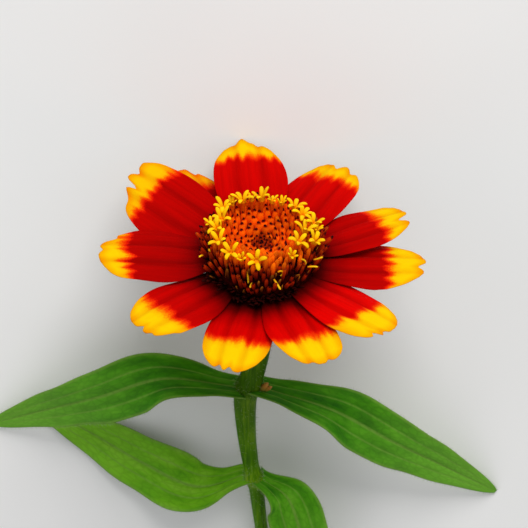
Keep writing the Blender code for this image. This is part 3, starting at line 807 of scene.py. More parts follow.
@dataclass
class RayFlorets:
    """The eleven coloured blades round the disc.

    A place on a blade is the place across, from -1 to 1, and the row, from 0 at the claw to 1 at the teeth.
    """

    claw_radius: float = 5.9  # from the head's axis to the start of the blades
    claw_share: float = 0.42  # of the full width
    claw_spread: float = 0.55  # power of the curve by which the claw widens
    widest_at: float = 0.56  # as a share of the length
    tip_narrowing: float = 0.12
    corner_power: float = 2.2
    corner_rounding: float = 0.45
    notch_fade: int = 6
    bend_power: float = 1.5
    opened_at: float = 0.35  # share of the length by which the blade has its crown, grooves and roll
    crown: float = 0.6  # how far the margins lie below the midline
    groove_place: float = 0.36
    groove_depth: float = 0.22
    groove_width: float = 0.12
    groove_fade: Pair = (2.2, 1.6)  # times that depth at the claw, and how much of it is gone at the tip
    gold_notch: float = 0.5  # how much further the red reaches into the gold along the grooves
    gold_corner: float = 0.9  # how much deeper the gold is at the two margins
    vein_relief: float = 0.035
    vein_pitch: float = 27  # radians of the veins' wave in half the width
    margin_wave: float = 0.3
    wave_pitch: float = 8  # radians of the margins' wave in the length
    thickness: float = 0.2
    side_taper: float = 5  # how fast the thickness grows inwards from the sides and from the tip
    tip_taper: float = 9
    columns: int = 44
    rows: int = 52
    midline_steps: int = 16
    map_step: float = 40  # sets the blades apart on their map, so that no two are alike
    claw_beside: float = 0.3  # how far beside a claw, and in which angle of it, a scale still stands on it
    claw_angle: float = 60
    no_claw: float = -9.0
    rays: tuple = (
        Ray(97.5, 25.2, 11.9, 12.1, 8, 0, 1.5, 0.30, -0.1, ((0.12, -1.15, 0.14), (-0.35, 0.5, 0.12)),
            3.2, 0.0, -0.08, 1.04),
        Ray(60.0, 25.2, 11.4, 6.6, 4, -6, 1.2, 0.32, 0.15, ((-0.46, 0.9, 0.12), (0.08, 1.2, 0.14)),
            3.6, 0.3, -0.08, 1.05),
        Ray(23.0, 25.0, 9.6, 7.0, 4, -3, 0.82, 0.36, -0.4, ((-0.12, 1.9, 0.13),), 4.6, 0.4, -0.06, 0.84),
        Ray(-0.7, 25.6, 11.6, 3.8, 4, -3, 0.15, 0.46, 0.1, ((-0.12, 1.3, 0.13),), 5.4, 0.2, -0.08, 0.8),
        Ray(-38.0, 25.3, 10.4, 4.0, 5, -5, 0.1, 0.34, 0.3, ((-0.56, 1.1, 0.08), (-0.28, 0.7, 0.07)),
            5.8, -1.3, -0.04, 1.3),
        Ray(-67.5, 24.8, 10.3, 4.2, 6, -4, -0.42, 0.34, -0.3, ((-0.30, 0.6, 0.12), (0.30, 0.6, 0.12)),
            5.8, 0.0, 0.02, 1.2),
        Ray(-100.6, 24.6, 10.2, 3.4, 7, 0, -0.97, 0.34, 0.0, ((-0.30, 1.0, 0.10), (0.05, 0.9, 0.10)),
            6.4, 0.0, 0.06, 1.2),
        Ray(222.0, 24.5, 10.8, 3.0, 6, 0, 0.1, 0.3, -0.1,
            ((0.12, 0.9, 0.08), (0.5, 0.4, 0.08), (0.88, 1.2, 0.12)), 4.9, 0.8, 0.0, 0.93),
        Ray(184.0, 25.3, 11.6, 6.7, 7, -4, 1.1, 0.44, -0.45, ((-0.58, 1.2, 0.10), (-0.08, 0.7, 0.12)),
            3.8, 0.5, -0.13, 0.71),
        Ray(146.2, 27.0, 13.4, 12.2, 4, -12, 0.25, 0.32, 0.5,
            ((0.1, 2.4, 0.08), (0.5, 2, 0.3), (-0.34, 0.9, 0.1), (-0.74, -0.9, 0.2)),
            4.9, 0.3, -0.15, 0.85, 0.14),
        Ray(123.5, 25.4, 10.4, 5.5, 2, 0, -0.5, 0.30, -0.6, ((-0.42, 1.2, 0.10), (-0.75, 1.4, 0.25)),
            4.4, -1.2, -0.08, 0.8, 0.45),
    )

    def length(self, ray: Ray) -> float:
        """The blade's length from its claw to its tip."""
        return ray.reach - self.claw_radius

    def share(self, ray: Ray, across: float, row: float) -> float:
        """How far a row reaches inside the toothed outline.

        Args:
            ray: The ray floret.
            across: The place across.
            row: The row.

        Returns:
            The share of the blade's length.
        """
        corner = 1 - (1 - min(1.0, abs(across)) ** self.corner_power) ** self.corner_rounding
        fall = ray.round_end * corner * (1 + ray.skew * across)
        cut = sum(depth * bell(across, place, width) for place, depth, width in ray.notches)
        return row * (1 - fall * row - cut / self.length(ray) * row ** self.notch_fade)

    def half_width(self, ray: Ray, share: float) -> float:
        """Half the blade's width.

        Args:
            ray: The ray floret.
            share: The share of its length.

        Returns:
            Half the width there.
        """
        spread = smooth(share / self.widest_at) ** self.claw_spread
        narrowing = 1 - self.tip_narrowing * smooth((share - self.widest_at) / (1 - self.widest_at))
        return ray.width / 2 * (self.claw_share + (1 - self.claw_share) * spread) * narrowing

    def grooves(self, across: float) -> float:
        """How deep the two lengthwise grooves are there, from 0 to 1."""
        return sum(bell(across, side * self.groove_place, self.groove_width) for side in (-1, 1))

    def gold_line(self, ray: Ray, across: float) -> float:
        """The depth of the gold end there."""
        return (ray.gold + ray.gold_tilt * across + self.gold_corner * abs(across) ** 6
                - self.gold_notch * self.grooves(across))

    def claw_top(self, azimuth: float, radius: float) -> float:
        """The height of the blades' upper faces at a place near the disc.

        Args:
            azimuth: The place's direction from the head's axis.
            radius: Its distance from the axis.

        Returns:
            The height, far below the head where there is no blade.
        """
        tops = [self.no_claw]
        for ray in self.rays:
            turn = (azimuth - ray.azimuth + 180) % 360 - 180
            along_ray = radius * math.cos(math.radians(turn))
            beside = abs(radius * math.sin(math.radians(turn)))
            share = (along_ray - self.claw_radius) / self.length(ray)
            if abs(turn) < self.claw_angle and beside < self.half_width(ray, share) + self.claw_beside:
                tops.append(ray.lift + (along_ray - self.claw_radius) * math.tan(math.radians(ray.rise))
                            + self.thickness / 2)
        return max(tops)

    def point(self, ray: Ray, across: float, row: float) -> Vector:
        """A point of the blade's middle surface.

        Args:
            ray: The ray floret.
            across: The place across.
            row: The row.

        Returns:
            The point, with x outwards along the ray and z along the head's axis.
        """
        share = self.share(ray, across, row)
        x, z = self.claw_radius, ray.lift
        stride = share * self.length(ray) / self.midline_steps
        for step in range(self.midline_steps):
            passed = (step + 0.5) / self.midline_steps * share
            slope = math.radians(ray.rise - ray.bend * passed ** self.bend_power)
            x += math.cos(slope) * stride
            z += math.sin(slope) * stride
        slope = math.radians(ray.rise - ray.bend * share ** self.bend_power)
        opened = smooth(share / self.opened_at)
        y = self.half_width(ray, share) * across
        at_claw, lost = self.groove_fade
        relief = self.groove_depth * (at_claw - lost * share) * self.grooves(across)
        up = -opened * (self.crown * across * across + relief)
        up += self.vein_relief * opened * math.cos(across * self.vein_pitch)
        up += (self.margin_wave * abs(across) ** 3 * math.sin(share * self.wave_pitch + ray.azimuth)
               * math.sin(math.pi * share))
        turn = math.radians(ray.roll) * opened
        y, up = y * math.cos(turn) - up * math.sin(turn), y * math.sin(turn) + up * math.cos(turn)
        return Vector((x - math.sin(slope) * up, y, z + math.cos(slope) * up))

    def weight(self, across: float, row: float) -> float:
        """The share of its thickness that a blade has there."""
        return min(1.0, (1 - abs(across)) * self.side_taper, (1 - row) * self.tip_taper)

    def maps(self, ray: Ray, number: int) -> dict[str, Painter]:
        """A blade's maps, each a call on the place across and the row.

        Args:
            ray: The ray floret.
            number: Its number.

        Returns:
            The place on the blade, the place in its span, the distances from its rim, and its own tone with
            its painted light, and its amber.
        """
        length = self.length(ray)

        def blade(across: float, row: float) -> Pair:
            """The place in millimetres, along the blade from the gold's line inwards."""
            share, line = self.share(ray, across, row), self.gold_line(ray, across)
            return self.half_width(ray, share) * across + self.map_step * number, (1 - share) * length - line

        def span(across: float, row: float) -> Pair:
            """The place across, and the share of the length, moved in or out by the blade's own painted claw
            shade.
            """
            share = self.share(ray, across, row)
            return across, share - ray.painted_claw_shade * (1 - share)

        def rim(across: float, row: float) -> Pair:
            """The distances in millimetres from the toothed end and from the nearer side."""
            share, end = self.share(ray, across, row), self.share(ray, across, 1.0)
            return (end - share) * length, self.half_width(ray, share) * (1 - abs(across))

        return {"blade": blade, "span": span, "rim": rim, "tone": lambda across, row: (ray.tone, ray.amber)}

    def build(self) -> None:
        """Builds and dresses the blades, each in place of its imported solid."""
        finishes = [PetalFace().make(), PetalBack().make()]
        for number, ray in enumerate(self.rays, start=1):
            work = bend_grid(self.columns, self.rows, partial(self.point, ray), self.maps(ray, number),
                             self.weight)
            piece = add_piece(f"petal_{number:02d}", work, finishes, Slot.PETAL,
                              HEAD_MM @ turned(ray.azimuth), [f"ray_floret_{number:02d}"])
            thicken(piece, self.thickness)


class Growth(Enum):
    """What grows on the disc, each kind one piece, by the piece's name."""

    PIT = "disc_pit_scales"
    BOWL = "disc_bowl_scales"
    BUD = "disc_bowl_buds"
    SKIRT = "disc_skirt_scales"
    WALL = "disc_wall_scales"
    TUBE = "disc_wall_tubes"
    WITHERED = "disc_withered_florets"


@dataclass(frozen=True)
class Rod:
    """One kind of rod, with its rings as height, half width and half depth, and its outward bow."""

    growth: Growth
    rings: tuple
    bow: float
    finish: RodTissue


@dataclass(frozen=True)
class Seat:
    """A place on the disc's bed where one rod stands, with what chance has given it."""

    radius: float
    height: float
    travelled: float  # along the bed from its centre
    azimuth: float  # in radians
    tilt: float = 0.0
    twist: float = 0.0
    shade: float = 0.0


@dataclass
class Disc:
    """The disc: a bed, dark with painted shade, with hundreds of scales and tubes standing in spirals on it.
    """

    blades: RayFlorets = field(default_factory=RayFlorets)  # they hold up the lowest rods
    bed: tuple = ((0.0, 2.3), (3.0, 2.5), (5.0, 3.1), (6.4, 4.0), (7.3, 4.2), (7.9, 3.7), (8.3, 2.9),
                  (8.5, 2.0), (8.6, 1.2), (8.5, 0.4), (8.2, -0.3), (7.4, -0.8), (5.7, -0.9), (5.65, 1.4),
                  (5.0, 1.9), (3.0, 2.05), (0.0, 2.1))  # its profile as radius and height
    bed_top: int = 12  # how many of the bed's points carry rods
    bed_sides: int = 48
    pole_radius: float = 0.05  # of the bed's first and last rings, which close it
    stride: float = 0.02  # along the bed's profile, from one look for a seat to the next
    packing: float = 0.866  # area of a seat, as a share of its spacing's square
    seed: int = 11
    tilts: tuple = ((0.0, -4.0), (3.0, 2.0), (5.0, 4.0), (6.6, 6.0), (8.5, 9.0), (9.4, 12.0), (10.3, 15.0),
                    (11.2, 20.0), (12.6, 32.0))  # how far the rods lean outwards along the profile
    tilt_stray: float = 3.0
    twist_stray: float = 12
    pit_radius: float = 1.8
    pit_gap: float = 0.62  # spacing of the rods in the pit, in the bowl and on the wall
    bowl_gap: float = 1.16
    wall_gap: float = 0.80
    pit_to_bowl: Pair = (0.6, 1.8)  # radius at which the spacing starts to change, and over how far
    bowl_to_wall: Pair = (4.6, 1.4)
    pit_top: float = 4.3  # height of the scales' tips in the middle of the pit
    pit_stray: float = 0.2  # how far they stray upwards, and how much higher they are per millimetre
    pit_slope: float = 0.1
    pit_width: float = 0.66
    bowl_end: float = 8.0  # how far along the bed the bowl's rim ends and the wall starts
    front_rim: float = 0.8  # how much further out that is at the front, and how fast it gets there
    front_slope: float = 1.6
    bowl_stray: Pair = (-0.25, 0.3)  # how far the tips stray from the disc's top, and more on the ridge
    ridge_stray: Pair = (-0.3, 0.8)
    ridge_start: float = 4.2  # radius at which the bowl turns up to its ridge, and over how far
    ridge_run: float = 1.6
    bowl_width: float = 1.08
    ridge_slimming: float = 0.26
    painted_ridge_light: float = 0.5  # painted light: how much lighter the far ridge's scales are
    bud_share: Pair = (0.12, 0.88)  # share of buds on the ridge, and how much more at the front
    bud_radius: float = 5.0  # from which radius all of the front has that share
    wall_foot: float = 0.4  # how deep the wall's rods stand in the bed
    claw_inset: float = 0.2  # rods stand where they are clear of the claw that is this much further in
    claw_clearance: float = 0.1
    wall_length: Pair = (2.7, 4.3)
    wall_width: Pair = (0.58, 0.8)
    wall_top: float = 6.3
    wall_stray: float = 6  # of their tilt, which is greater at the disc's two sides
    side_tilt: float = 16
    wall_twist: float = 3  # how much more they twist
    painted_wall_shade: float = 0.16  # painted shade, as loss of the rods' shade, and gain of withered florets, per millimetre down the wall
    withered_gain: float = 0.11
    withered_stray: float = 8
    withered_length: float = 0.85
    tube_share: float = 0.6  # up to where tubes take the wall, and past it scales
    skirt: int = 132  # dark scales of painted shade on the front blades' claws
    skirt_azimuth: Pair = (268, 28)  # mean and spread
    skirt_radius: Pair = (7.4, 8.8)
    skirt_length: Pair = (1.4, 2.6)
    skirt_width: Pair = (0.6, 0.9)
    skirt_tilt: Pair = (50, 78)
    skirt_twist: float = 30
    skirt_lift: Pair = (0.1, 0.5)  # height of their feet above the claws
    skirt_reach: float = 1.5  # how far out a claw still counts for that height
    skirt_floor: float = -0.8
    side_every: int = 6  # one in so many stands at the disc's left side instead, shorter
    side_azimuth: Pair = (200, 3)
    side_radius: Pair = (8.0, 8.4)
    side_height: Pair = (0.2, 0.7)
    side_length: float = 0.45
    sides: int = 8
    stripe: float = 0.16  # how much the rods' ridges differ in shade, and stand out
    flute: float = 0.08
    hook: float = 0.12  # how far their tips turn aside, and how much of the length does
    hook_length: float = 0.2
    scale_rings: tuple = ((0.0, 0.35, 0.3), (0.4, 0.6, 0.5), (0.6, 0.62, 0.48), (0.76, 0.48, 0.34),
                          (0.86, 0.28, 0.19), (0.94, 0.23, 0.14), (1.0, 0.08, 0.06))
    outer_rings: tuple = ((0.0, 0.30, 0.22), (0.4, 0.46, 0.36), (0.72, 0.5, 0.36), (0.84, 0.40, 0.26),
                          (0.9, 0.28, 0.18), (0.965, 0.2, 0.13), (1.0, 0.06, 0.05))
    tube_rings: tuple = ((0.0, 0.3, 0.26), (0.4, 0.42, 0.36), (0.75, 0.46, 0.4), (0.9, 0.4, 0.34),
                         (0.97, 0.26, 0.2), (1.0, 0.14, 0.1))
    bud_rings: tuple = ((0.0, 0.35, 0.3), (0.35, 0.48, 0.42), (0.7, 0.5, 0.44), (0.88, 0.36, 0.3),
                        (1.0, 0.08, 0.07))
    rag_rings: tuple = ((0.0, 0.26, 0.2), (0.3, 0.36, 0.16), (0.6, 0.22, 0.24), (0.82, 0.4, 0.12),
                        (1.0, 0.14, 0.08))
    rods: tuple = (
        Rod(Growth.PIT, scale_rings, 0.02, PIT_PALEA), Rod(Growth.BOWL, scale_rings, 0.05, PALEA),
        Rod(Growth.BUD, bud_rings, 0.04, CLOSED_BUD), Rod(Growth.SKIRT, rag_rings, 0.1, DARK_SCALE),
        Rod(Growth.WALL, outer_rings, 0.08, WALL_PALEA), Rod(Growth.TUBE, tube_rings, 0.04, CLOSED_TUBE),
        Rod(Growth.WITHERED, rag_rings, 0.15, WITHERED))

    def gap(self, radius: float) -> float:
        """The spacing of the rods: close in the pit, wide in the bowl and close again on the wall.

        Args:
            radius: The radius on the bed.

        Returns:
            The spacing there.
        """
        (start, run), (wall_start, wall_run) = self.pit_to_bowl, self.bowl_to_wall
        inner = self.pit_gap + (self.bowl_gap - self.pit_gap) * smooth((radius - start) / run)
        return inner + (self.wall_gap - inner) * smooth((radius - wall_start) / wall_run)

    def seats(self) -> list[Seat]:
        """One seat per equal share of the bed's surface, in a spiral from its centre down its wall.

        Returns:
            The seats, without what chance gives them.
        """
        seats, count, travelled = [], 0.5, 0.0
        top = self.bed[:self.bed_top]
        for (radius, height), (next_radius, next_height) in zip(top, top[1:]):
            run = math.hypot(next_radius - radius, next_height - height)
            for step in range(max(1, round(run / self.stride))):
                share = step * self.stride / run
                r, z = radius + (next_radius - radius) * share, height + (next_height - height) * share
                count += math.tau * r * self.stride / (self.packing * self.gap(r) ** 2)
                travelled += self.stride
                if count >= 1:
                    count -= 1
                    seats.append(Seat(r, z, travelled, len(seats) * GOLDEN_ANGLE))
        return seats

    def shape_rod(self, rod: Rod) -> bmesh.types.BMesh:
        """One rod of unit length and width, standing on its foot.

        Args:
            rod: Its kind.

        Returns:
            Its mesh.
        """
        work = bmesh.new()
        stations = [Matrix.Translation((rod.bow * math.sin(math.pi * z),
                                        self.hook * max(z - (1 - self.hook_length), 0) / self.hook_length, z))
                    @ Matrix.Diagonal((deep, wide, 1, 1)) for z, wide, deep in rod.rings]
        loft(work, self.sides, stations)

        def ridge(vert: bmesh.types.BMVert) -> float:
            """How far a vertex is on a ridge, from -1 to 1."""
            return math.cos(self.sides / 2 * math.atan2(vert.co.y, vert.co.x))

        paint(work.faces, work.loops.layers.uv["rod"], lambda vert: (self.stripe * ridge(vert), vert.co.z))
        for vert in work.verts:
            swell = 1 + self.flute * ridge(vert)
            vert.co.x, vert.co.y = vert.co.x * swell, vert.co.y * swell
        bmesh.ops.recalc_face_normals(work, faces=work.faces)
        return work

    def stand(self, seat: Seat, length: float, width: float) -> Matrix:
        """The matrix that stands a unit rod on the disc.

        Args:
            seat: Its seat.
            length: Its length.
            width: How many times the unit rod's width it has.

        Returns:
            The matrix.
        """
        return (Matrix.Rotation(seat.azimuth, 4, "Z") @ Matrix.Translation((seat.radius, 0, seat.height))
                @ turned(seat.tilt, "Y") @ turned(seat.twist) @ Matrix.Diagonal((width, width, length, 1)))

    def grow_pit(self, seat: Seat, chance: random.Random) -> tuple[Growth, Matrix, float]:
        """A young scale of the pit.

        Args:
            seat: Its seat.
            chance: The disc's chance.

        Returns:
            Its kind, its place and its shade.
        """
        length = (self.pit_top - seat.height + self.pit_stray * chance.random()
                  + self.pit_slope * seat.radius)
        return Growth.PIT, self.stand(seat, length, self.pit_width), seat.shade

    def grow_bowl(self, seat: Seat, chance: random.Random) -> tuple[Growth, Matrix, float]:
        """A scale of the bowl, or a closed bud, which stand mostly at the front.

        Args:
            seat: Its seat.
            chance: The disc's chance.

        Returns:
            Its kind, its place and its shade.
        """
        length = read_profile(DISC_TOP, seat.radius) - seat.height + chance.uniform(*self.bowl_stray)
        ridge = smooth((seat.radius - self.ridge_start) / self.ridge_run)
        front = -math.sin(seat.azimuth) * seat.radius / self.bud_radius
        length += ridge * chance.uniform(*self.ridge_stray)
        on_ridge, at_front = self.bud_share
        kind = Growth.BUD if chance.random() < on_ridge * ridge + at_front * smooth(front) else Growth.BOWL
        # Painted light on the scales of the far ridge
        shade = seat.shade + self.painted_ridge_light * ridge * max(math.sin(seat.azimuth), 0.0)
        return kind, self.stand(seat, length, self.bowl_width - self.ridge_slimming * ridge), shade

    def grow_wall(self, seat: Seat, chance: random.Random) -> tuple[Growth, Matrix, float]:
        """A scale or a spent tube of the wall, or a withered floret, more of them further down.

        Args:
            seat: Its seat.
            chance: The disc's chance.

        Returns:
            Its kind, its place and its shade.
        """
        drop = seat.travelled - self.bowl_end
        sideways = math.cos(seat.azimuth) ** 2
        tilt = seat.tilt + (chance.gauss(0, self.wall_stray) + self.side_tilt * sideways)
        draw = chance.random()
        # Painted shade: the rods are darker further down the wall
        shade = seat.shade * (1 - self.painted_wall_shade * drop)
        width = chance.uniform(*self.wall_width)
        length = min(chance.uniform(*self.wall_length), self.wall_top - seat.height)
        kind = Growth.TUBE if draw < self.tube_share else Growth.WALL
        if draw < self.withered_gain * drop:
            kind, length = Growth.WITHERED, length * self.withered_length
            tilt += chance.gauss(0, self.withered_stray)
            shade = chance.random()
        twist = seat.twist * self.wall_twist
        foot = replace(seat, radius=seat.radius - self.wall_foot, tilt=tilt, twist=twist)
        return kind, self.stand(foot, length, width), shade

    def grow_skirt(self, number: int, chance: random.Random) -> tuple[Growth, Matrix, float]:
        """A dark scale of painted shade over the front blades' claws, or now and then at the disc's left
        side.

        Args:
            number: Its number.
            chance: The disc's chance.

        Returns:
            Its kind, its place and its shade.
        """
        azimuth, radius = chance.gauss(*self.skirt_azimuth), chance.uniform(*self.skirt_radius)
        length = chance.uniform(*self.skirt_length)
        claws = (self.blades.claw_top(azimuth, radius + further) for further in (0.0, self.skirt_reach))
        height = max(*claws, self.skirt_floor) + chance.uniform(*self.skirt_lift)
        if number % self.side_every == 0:
            azimuth, radius = chance.gauss(*self.side_azimuth), chance.uniform(*self.side_radius)
            length, height = length * self.side_length, chance.uniform(*self.side_height)
        tilt, width = chance.uniform(*self.skirt_tilt), chance.uniform(*self.skirt_width)
        seat = Seat(radius, height, 0.0, math.radians(azimuth), tilt, chance.gauss(0, self.skirt_twist))
        # mostly dark shades, as painted shade
        return Growth.SKIRT, self.stand(seat, length, width), chance.random() ** 2

    def build(self) -> None:
        """Builds the bed, the rods of the pit, the bowl and the wall, and the dark scales of painted shade
        low down.
        """
        self.build_bed()
        chance = random.Random(self.seed)
        grown = []
        for seat in self.seats():
            tilt = read_profile(self.tilts, seat.travelled) + chance.gauss(0, self.tilt_stray)
            twist, shade = chance.gauss(0, self.twist_stray), chance.random()
            seat = replace(seat, tilt=tilt, twist=twist, shade=shade)
            rim = self.bowl_end + self.front_rim * smooth(-self.front_slope * math.sin(seat.azimuth))
            claw = self.blades.claw_top(math.degrees(seat.azimuth), seat.radius - self.claw_inset)
            if seat.radius < self.pit_radius:
                grown.append(self.grow_pit(seat, chance))
            elif seat.travelled < rim:
                grown.append(self.grow_bowl(seat, chance))
            elif seat.height > claw + self.claw_clearance:
                grown.append(self.grow_wall(seat, chance))
        grown += [self.grow_skirt(number, chance) for number in range(self.skirt)]
        for rod in self.rods:
            work = self.shape_rod(rod)
            repeat_rod(work, [(place, shade) for kind, place, shade in grown if kind is rod.growth])
            add_piece(rod.growth.value, work, [rod.finish.make()], Slot.DISC, HEAD_MM)

    def build_bed(self) -> None:
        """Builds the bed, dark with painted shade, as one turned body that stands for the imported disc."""
        work = bmesh.new()
        rings = [ring_at(height, max(radius, self.pole_radius)) for radius, height in self.bed]
        loft(work, self.bed_sides, rings)
        bmesh.ops.recalc_face_normals(work, faces=work.faces)
        add_piece("disc_bed", work, [DARK_BED.make()], Slot.DISC, HEAD_MM, ["disc"])


@dataclass
class OpenFlorets:
    """The open disc florets: a tube each, with five blunt lobes that curl outwards."""

    # Each as azimuth, radius and tilt; the young ones, half open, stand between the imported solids
    seats: tuple = ((93, 5.9, 3), (123, 6.1, 6), (155, 6.8, 8), (177, 6.4, 6), (198, 7.1, 13),
                    (217, 7.7, 20), (237, 8.0, 26), (265, 8.1, 30), (-42, 7.1, 20), (-26, 8.2, 22),
                    (-17, 6.7, 12), (0, 7.4, 14), (18, 6.4, 6), (39, 6.3, 6))
    young: tuple = ((61, 5.9, 4), (76, 5.8, 3), (139, 6.5, 8), (108, 6.1, 5), (187, 7.5, 14),
                    (250, 8.2, 28), (-58, 8.1, 24), (-8, 7.9, 16))
    young_openness: float = 0.6
    young_size: Pair = (0.7, 0.75)  # of their width and length
    far_side: Pair = (100, 30)  # direction, and the angle to each side, in which the lobes are longer
    far_openness: float = 0.85
    far_size: float = 1.1
    seed: int = 5
    seat_gap: float = 0.3  # between a floret's base and the disc's top
    base_radius: float = 0.35
    slope_reach: float = 0.2  # how far to each side the disc's slope is read
    root: float = -1.9  # how far the tube reaches down among the scales
    mouth: float = 0.9  # height at which the lobes leave the tube
    tube: tuple = ((0.0, 0.26), (1.0, 0.36))  # as height above the root and radius, then above the seat
    throat: tuple = ((0.2, 0.42), (0.65, 0.5), (0.9, 0.56), (0.92, 0.46), (0.6, 0.3))
    tube_sides: int = 10
    tube_span: Pair = (0.05, 0.45)  # share of the floret's colours that the tube shows, and a lobe
    lobe_span: Pair = (0.4, 1.0)
    lobes: int = 5
    lobe_sides: int = 8
    lobe_length: float = 1.95
    lobe_stray: Pair = (0.82, 1.2)
    lobe_spread: float = 0.16  # how far a lobe strays from its fifth of the circle, in radians
    lobe_start: Pair = (8, 9)  # mean and spread of its angle from upright where it starts and where it ends
    lobe_end: Pair = (118, 34)
    lobe_foot: Pair = (0.40, 0.3)  # its foot's radius, and how far below the mouth it is
    curl_power: float = 1.3
    lobe_widths: tuple = (0.22, 0.26, 0.29, 0.32, 0.34, 0.35, 0.34, 0.28, 0.14)
    lobe_depth: float = 0.15
    tip_depth: float = 0.07

    def stand(self, azimuth: float, radius: float, tilt: float) -> Matrix:
        """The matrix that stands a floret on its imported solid's seat.

        Args:
            azimuth: The seat's direction from the head's axis.
            radius: Its distance from the axis.
            tilt: How far the floret leans outwards.

        Returns:
            The matrix.
        """
        reach = self.slope_reach
        height = read_profile(DISC_TOP, radius)
        drop = read_profile(DISC_TOP, radius - reach) - read_profile(DISC_TOP, radius + reach)
        slope, lean = math.atan2(drop, 2 * reach), math.radians(tilt)
        lift = self.seat_gap + self.base_radius * abs(math.sin(slope - lean))
        seat = Vector((radius + math.sin(slope) * lift, 0.0, height + math.cos(slope) * lift))
        return turned(azimuth) @ Matrix.Translation(seat) @ Matrix.Rotation(lean, 4, "Y")

    def floret(self, chance: random.Random, openness: float = 1.0, size: float = 1.0) -> bmesh.types.BMesh:
        """One floret, each a little different from the next.

        Args:
            chance: The florets' chance.
            openness: How far its lobes open, as a share of the usual.
            size: How long they are, as a share of the usual.

        Returns:
            Its mesh.
        """
        work = bmesh.new()
        tube = [(self.root + height, radius) for height, radius in self.tube] + list(self.throat)
        loft(work, self.tube_sides, [ring_at(height, radius) for height, radius in tube], chance.random(),
             self.tube_span)
        steps = len(self.lobe_widths) - 1
        sizes = [(width, self.lobe_depth) for width in self.lobe_widths[:-1]]
        sizes.append((self.lobe_widths[-1], self.tip_depth))
        for lobe in range(self.lobes):
            spoke = Matrix.Rotation(math.tau * lobe / self.lobes + chance.gauss(0, self.lobe_spread), 3, "Z")
            length = self.lobe_length * chance.uniform(*self.lobe_stray) * size
            start = math.radians(chance.gauss(*self.lobe_start) * openness)
            end = math.radians(chance.gauss(*self.lobe_end) * openness)
            points, here = [], Vector((self.lobe_foot[0], 0.0, self.mouth - self.lobe_foot[1]))
            for step in range(steps + 1):
                points.append(spoke @ here)
                angle = start + (end - start) * (step / steps) ** self.curl_power
                here = here + Vector((math.sin(angle), 0, math.cos(angle))) * length / steps
            stations = path_stations(points, sizes, spoke @ Vector((-0.3, 0, 1)))
            loft(work, self.lobe_sides, stations, chance.random(), self.lobe_span)
        bmesh.ops.recalc_face_normals(work, faces=work.faces)
        return work

    def build(self) -> None:
        """Builds and dresses the florets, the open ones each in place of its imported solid."""
        chance = random.Random(self.seed)
        finish = OPEN_FLORET.make()
        middle, reach = self.far_side
        for number, seat in enumerate(self.seats, start=1):
            spin = Matrix.Rotation(chance.uniform(0, math.tau), 4, "Z")
            far = abs(seat[0] - middle) < reach
            work = self.floret(chance, self.far_openness, self.far_size) if far else self.floret(chance)
            add_piece(f"open_disc_floret_{number:02d}", work, [finish], Slot.FLORET,
                      HEAD_MM @ self.stand(*seat) @ spin, [f"open_floret_{number:02d}"])
        wide, long = self.young_size
        for number, seat in enumerate(self.young, start=1):
            spin = Matrix.Rotation(chance.uniform(0, math.tau), 4, "Z")
            place = HEAD_MM @ self.stand(*seat) @ (spin @ Matrix.Diagonal((wide, wide, long, 1.0)))
            add_piece(f"young_disc_floret_{number}", self.floret(chance, self.young_openness), [finish],
                      Slot.FLORET, place)


@dataclass
class StyleArms:
    """The yellow style arms that stand out of florets past their bloom, each hooked or nearly straight."""

    # Each as azimuth, radius and height of its foot, heading and rise of its run, its length and its bend
    arms: tuple = (
        (209, 9.0, 4.8, 100, 60, 1.7, 170), (255, 8.0, 4.6, 280, -40, 1.9, 25),
        (282, 9.4, 4.4, 310, -25, 1.9, 10), (287, 8.6, 5.0, 20, 30, 1.8, 210),
        (318, 9.4, 4.6, 5, 10, 1.6, 25), (327, 9.4, 5.1, 0, 15, 1.5, -20),
        (313, 8.2, 5.6, 350, 50, 2.0, 190), (204, 9.8, 4.2, 230, 40, 0.9, 60),
        (262, 9.2, 3.4, 250, 20, 1.0, 70))
    radius: float = 0.15
    swell: tuple = (0.8, 0.9, 1, 1, 1, 1, 1, 1.05, 1.0, 0.5)  # times that radius, from foot to tip
    sides: int = 6
    seed: int = 3

    def build(self) -> None:
        """Builds the arms as one piece."""
        work = bmesh.new()
        chance = random.Random(self.seed)
        steps = len(self.swell) - 1
        sizes = [(self.radius * size,) * 2 for size in self.swell]
        for azimuth, radius, height, heading, rise, length, bend in self.arms:
            points, here = [], turned(azimuth) @ Vector((radius, 0, height))
            turn = math.radians(heading)
            for step in range(steps + 1):
                points.append(here.copy())
                lift = math.radians(rise - bend * step / steps)
                here = here + Vector((math.cos(lift) * math.cos(turn), math.cos(lift) * math.sin(turn),
                                      math.sin(lift))) * length / steps
            side = Vector((-math.sin(turn), math.cos(turn), 0))
            loft(work, self.sides, path_stations(points, sizes, side), chance.random())
        bmesh.ops.recalc_face_normals(work, faces=work.faces)
        add_piece("style_arms", work, [STYLE_ARM.make()], Slot.FLORET, HEAD_MM)


@dataclass(frozen=True)
class Series:
    """One series of bracts: base, control point and tip of the midline as radius and height."""

    kind: str
    base: Pair
    control: Pair
    tip: Pair
    width: float
    first_azimuth: float


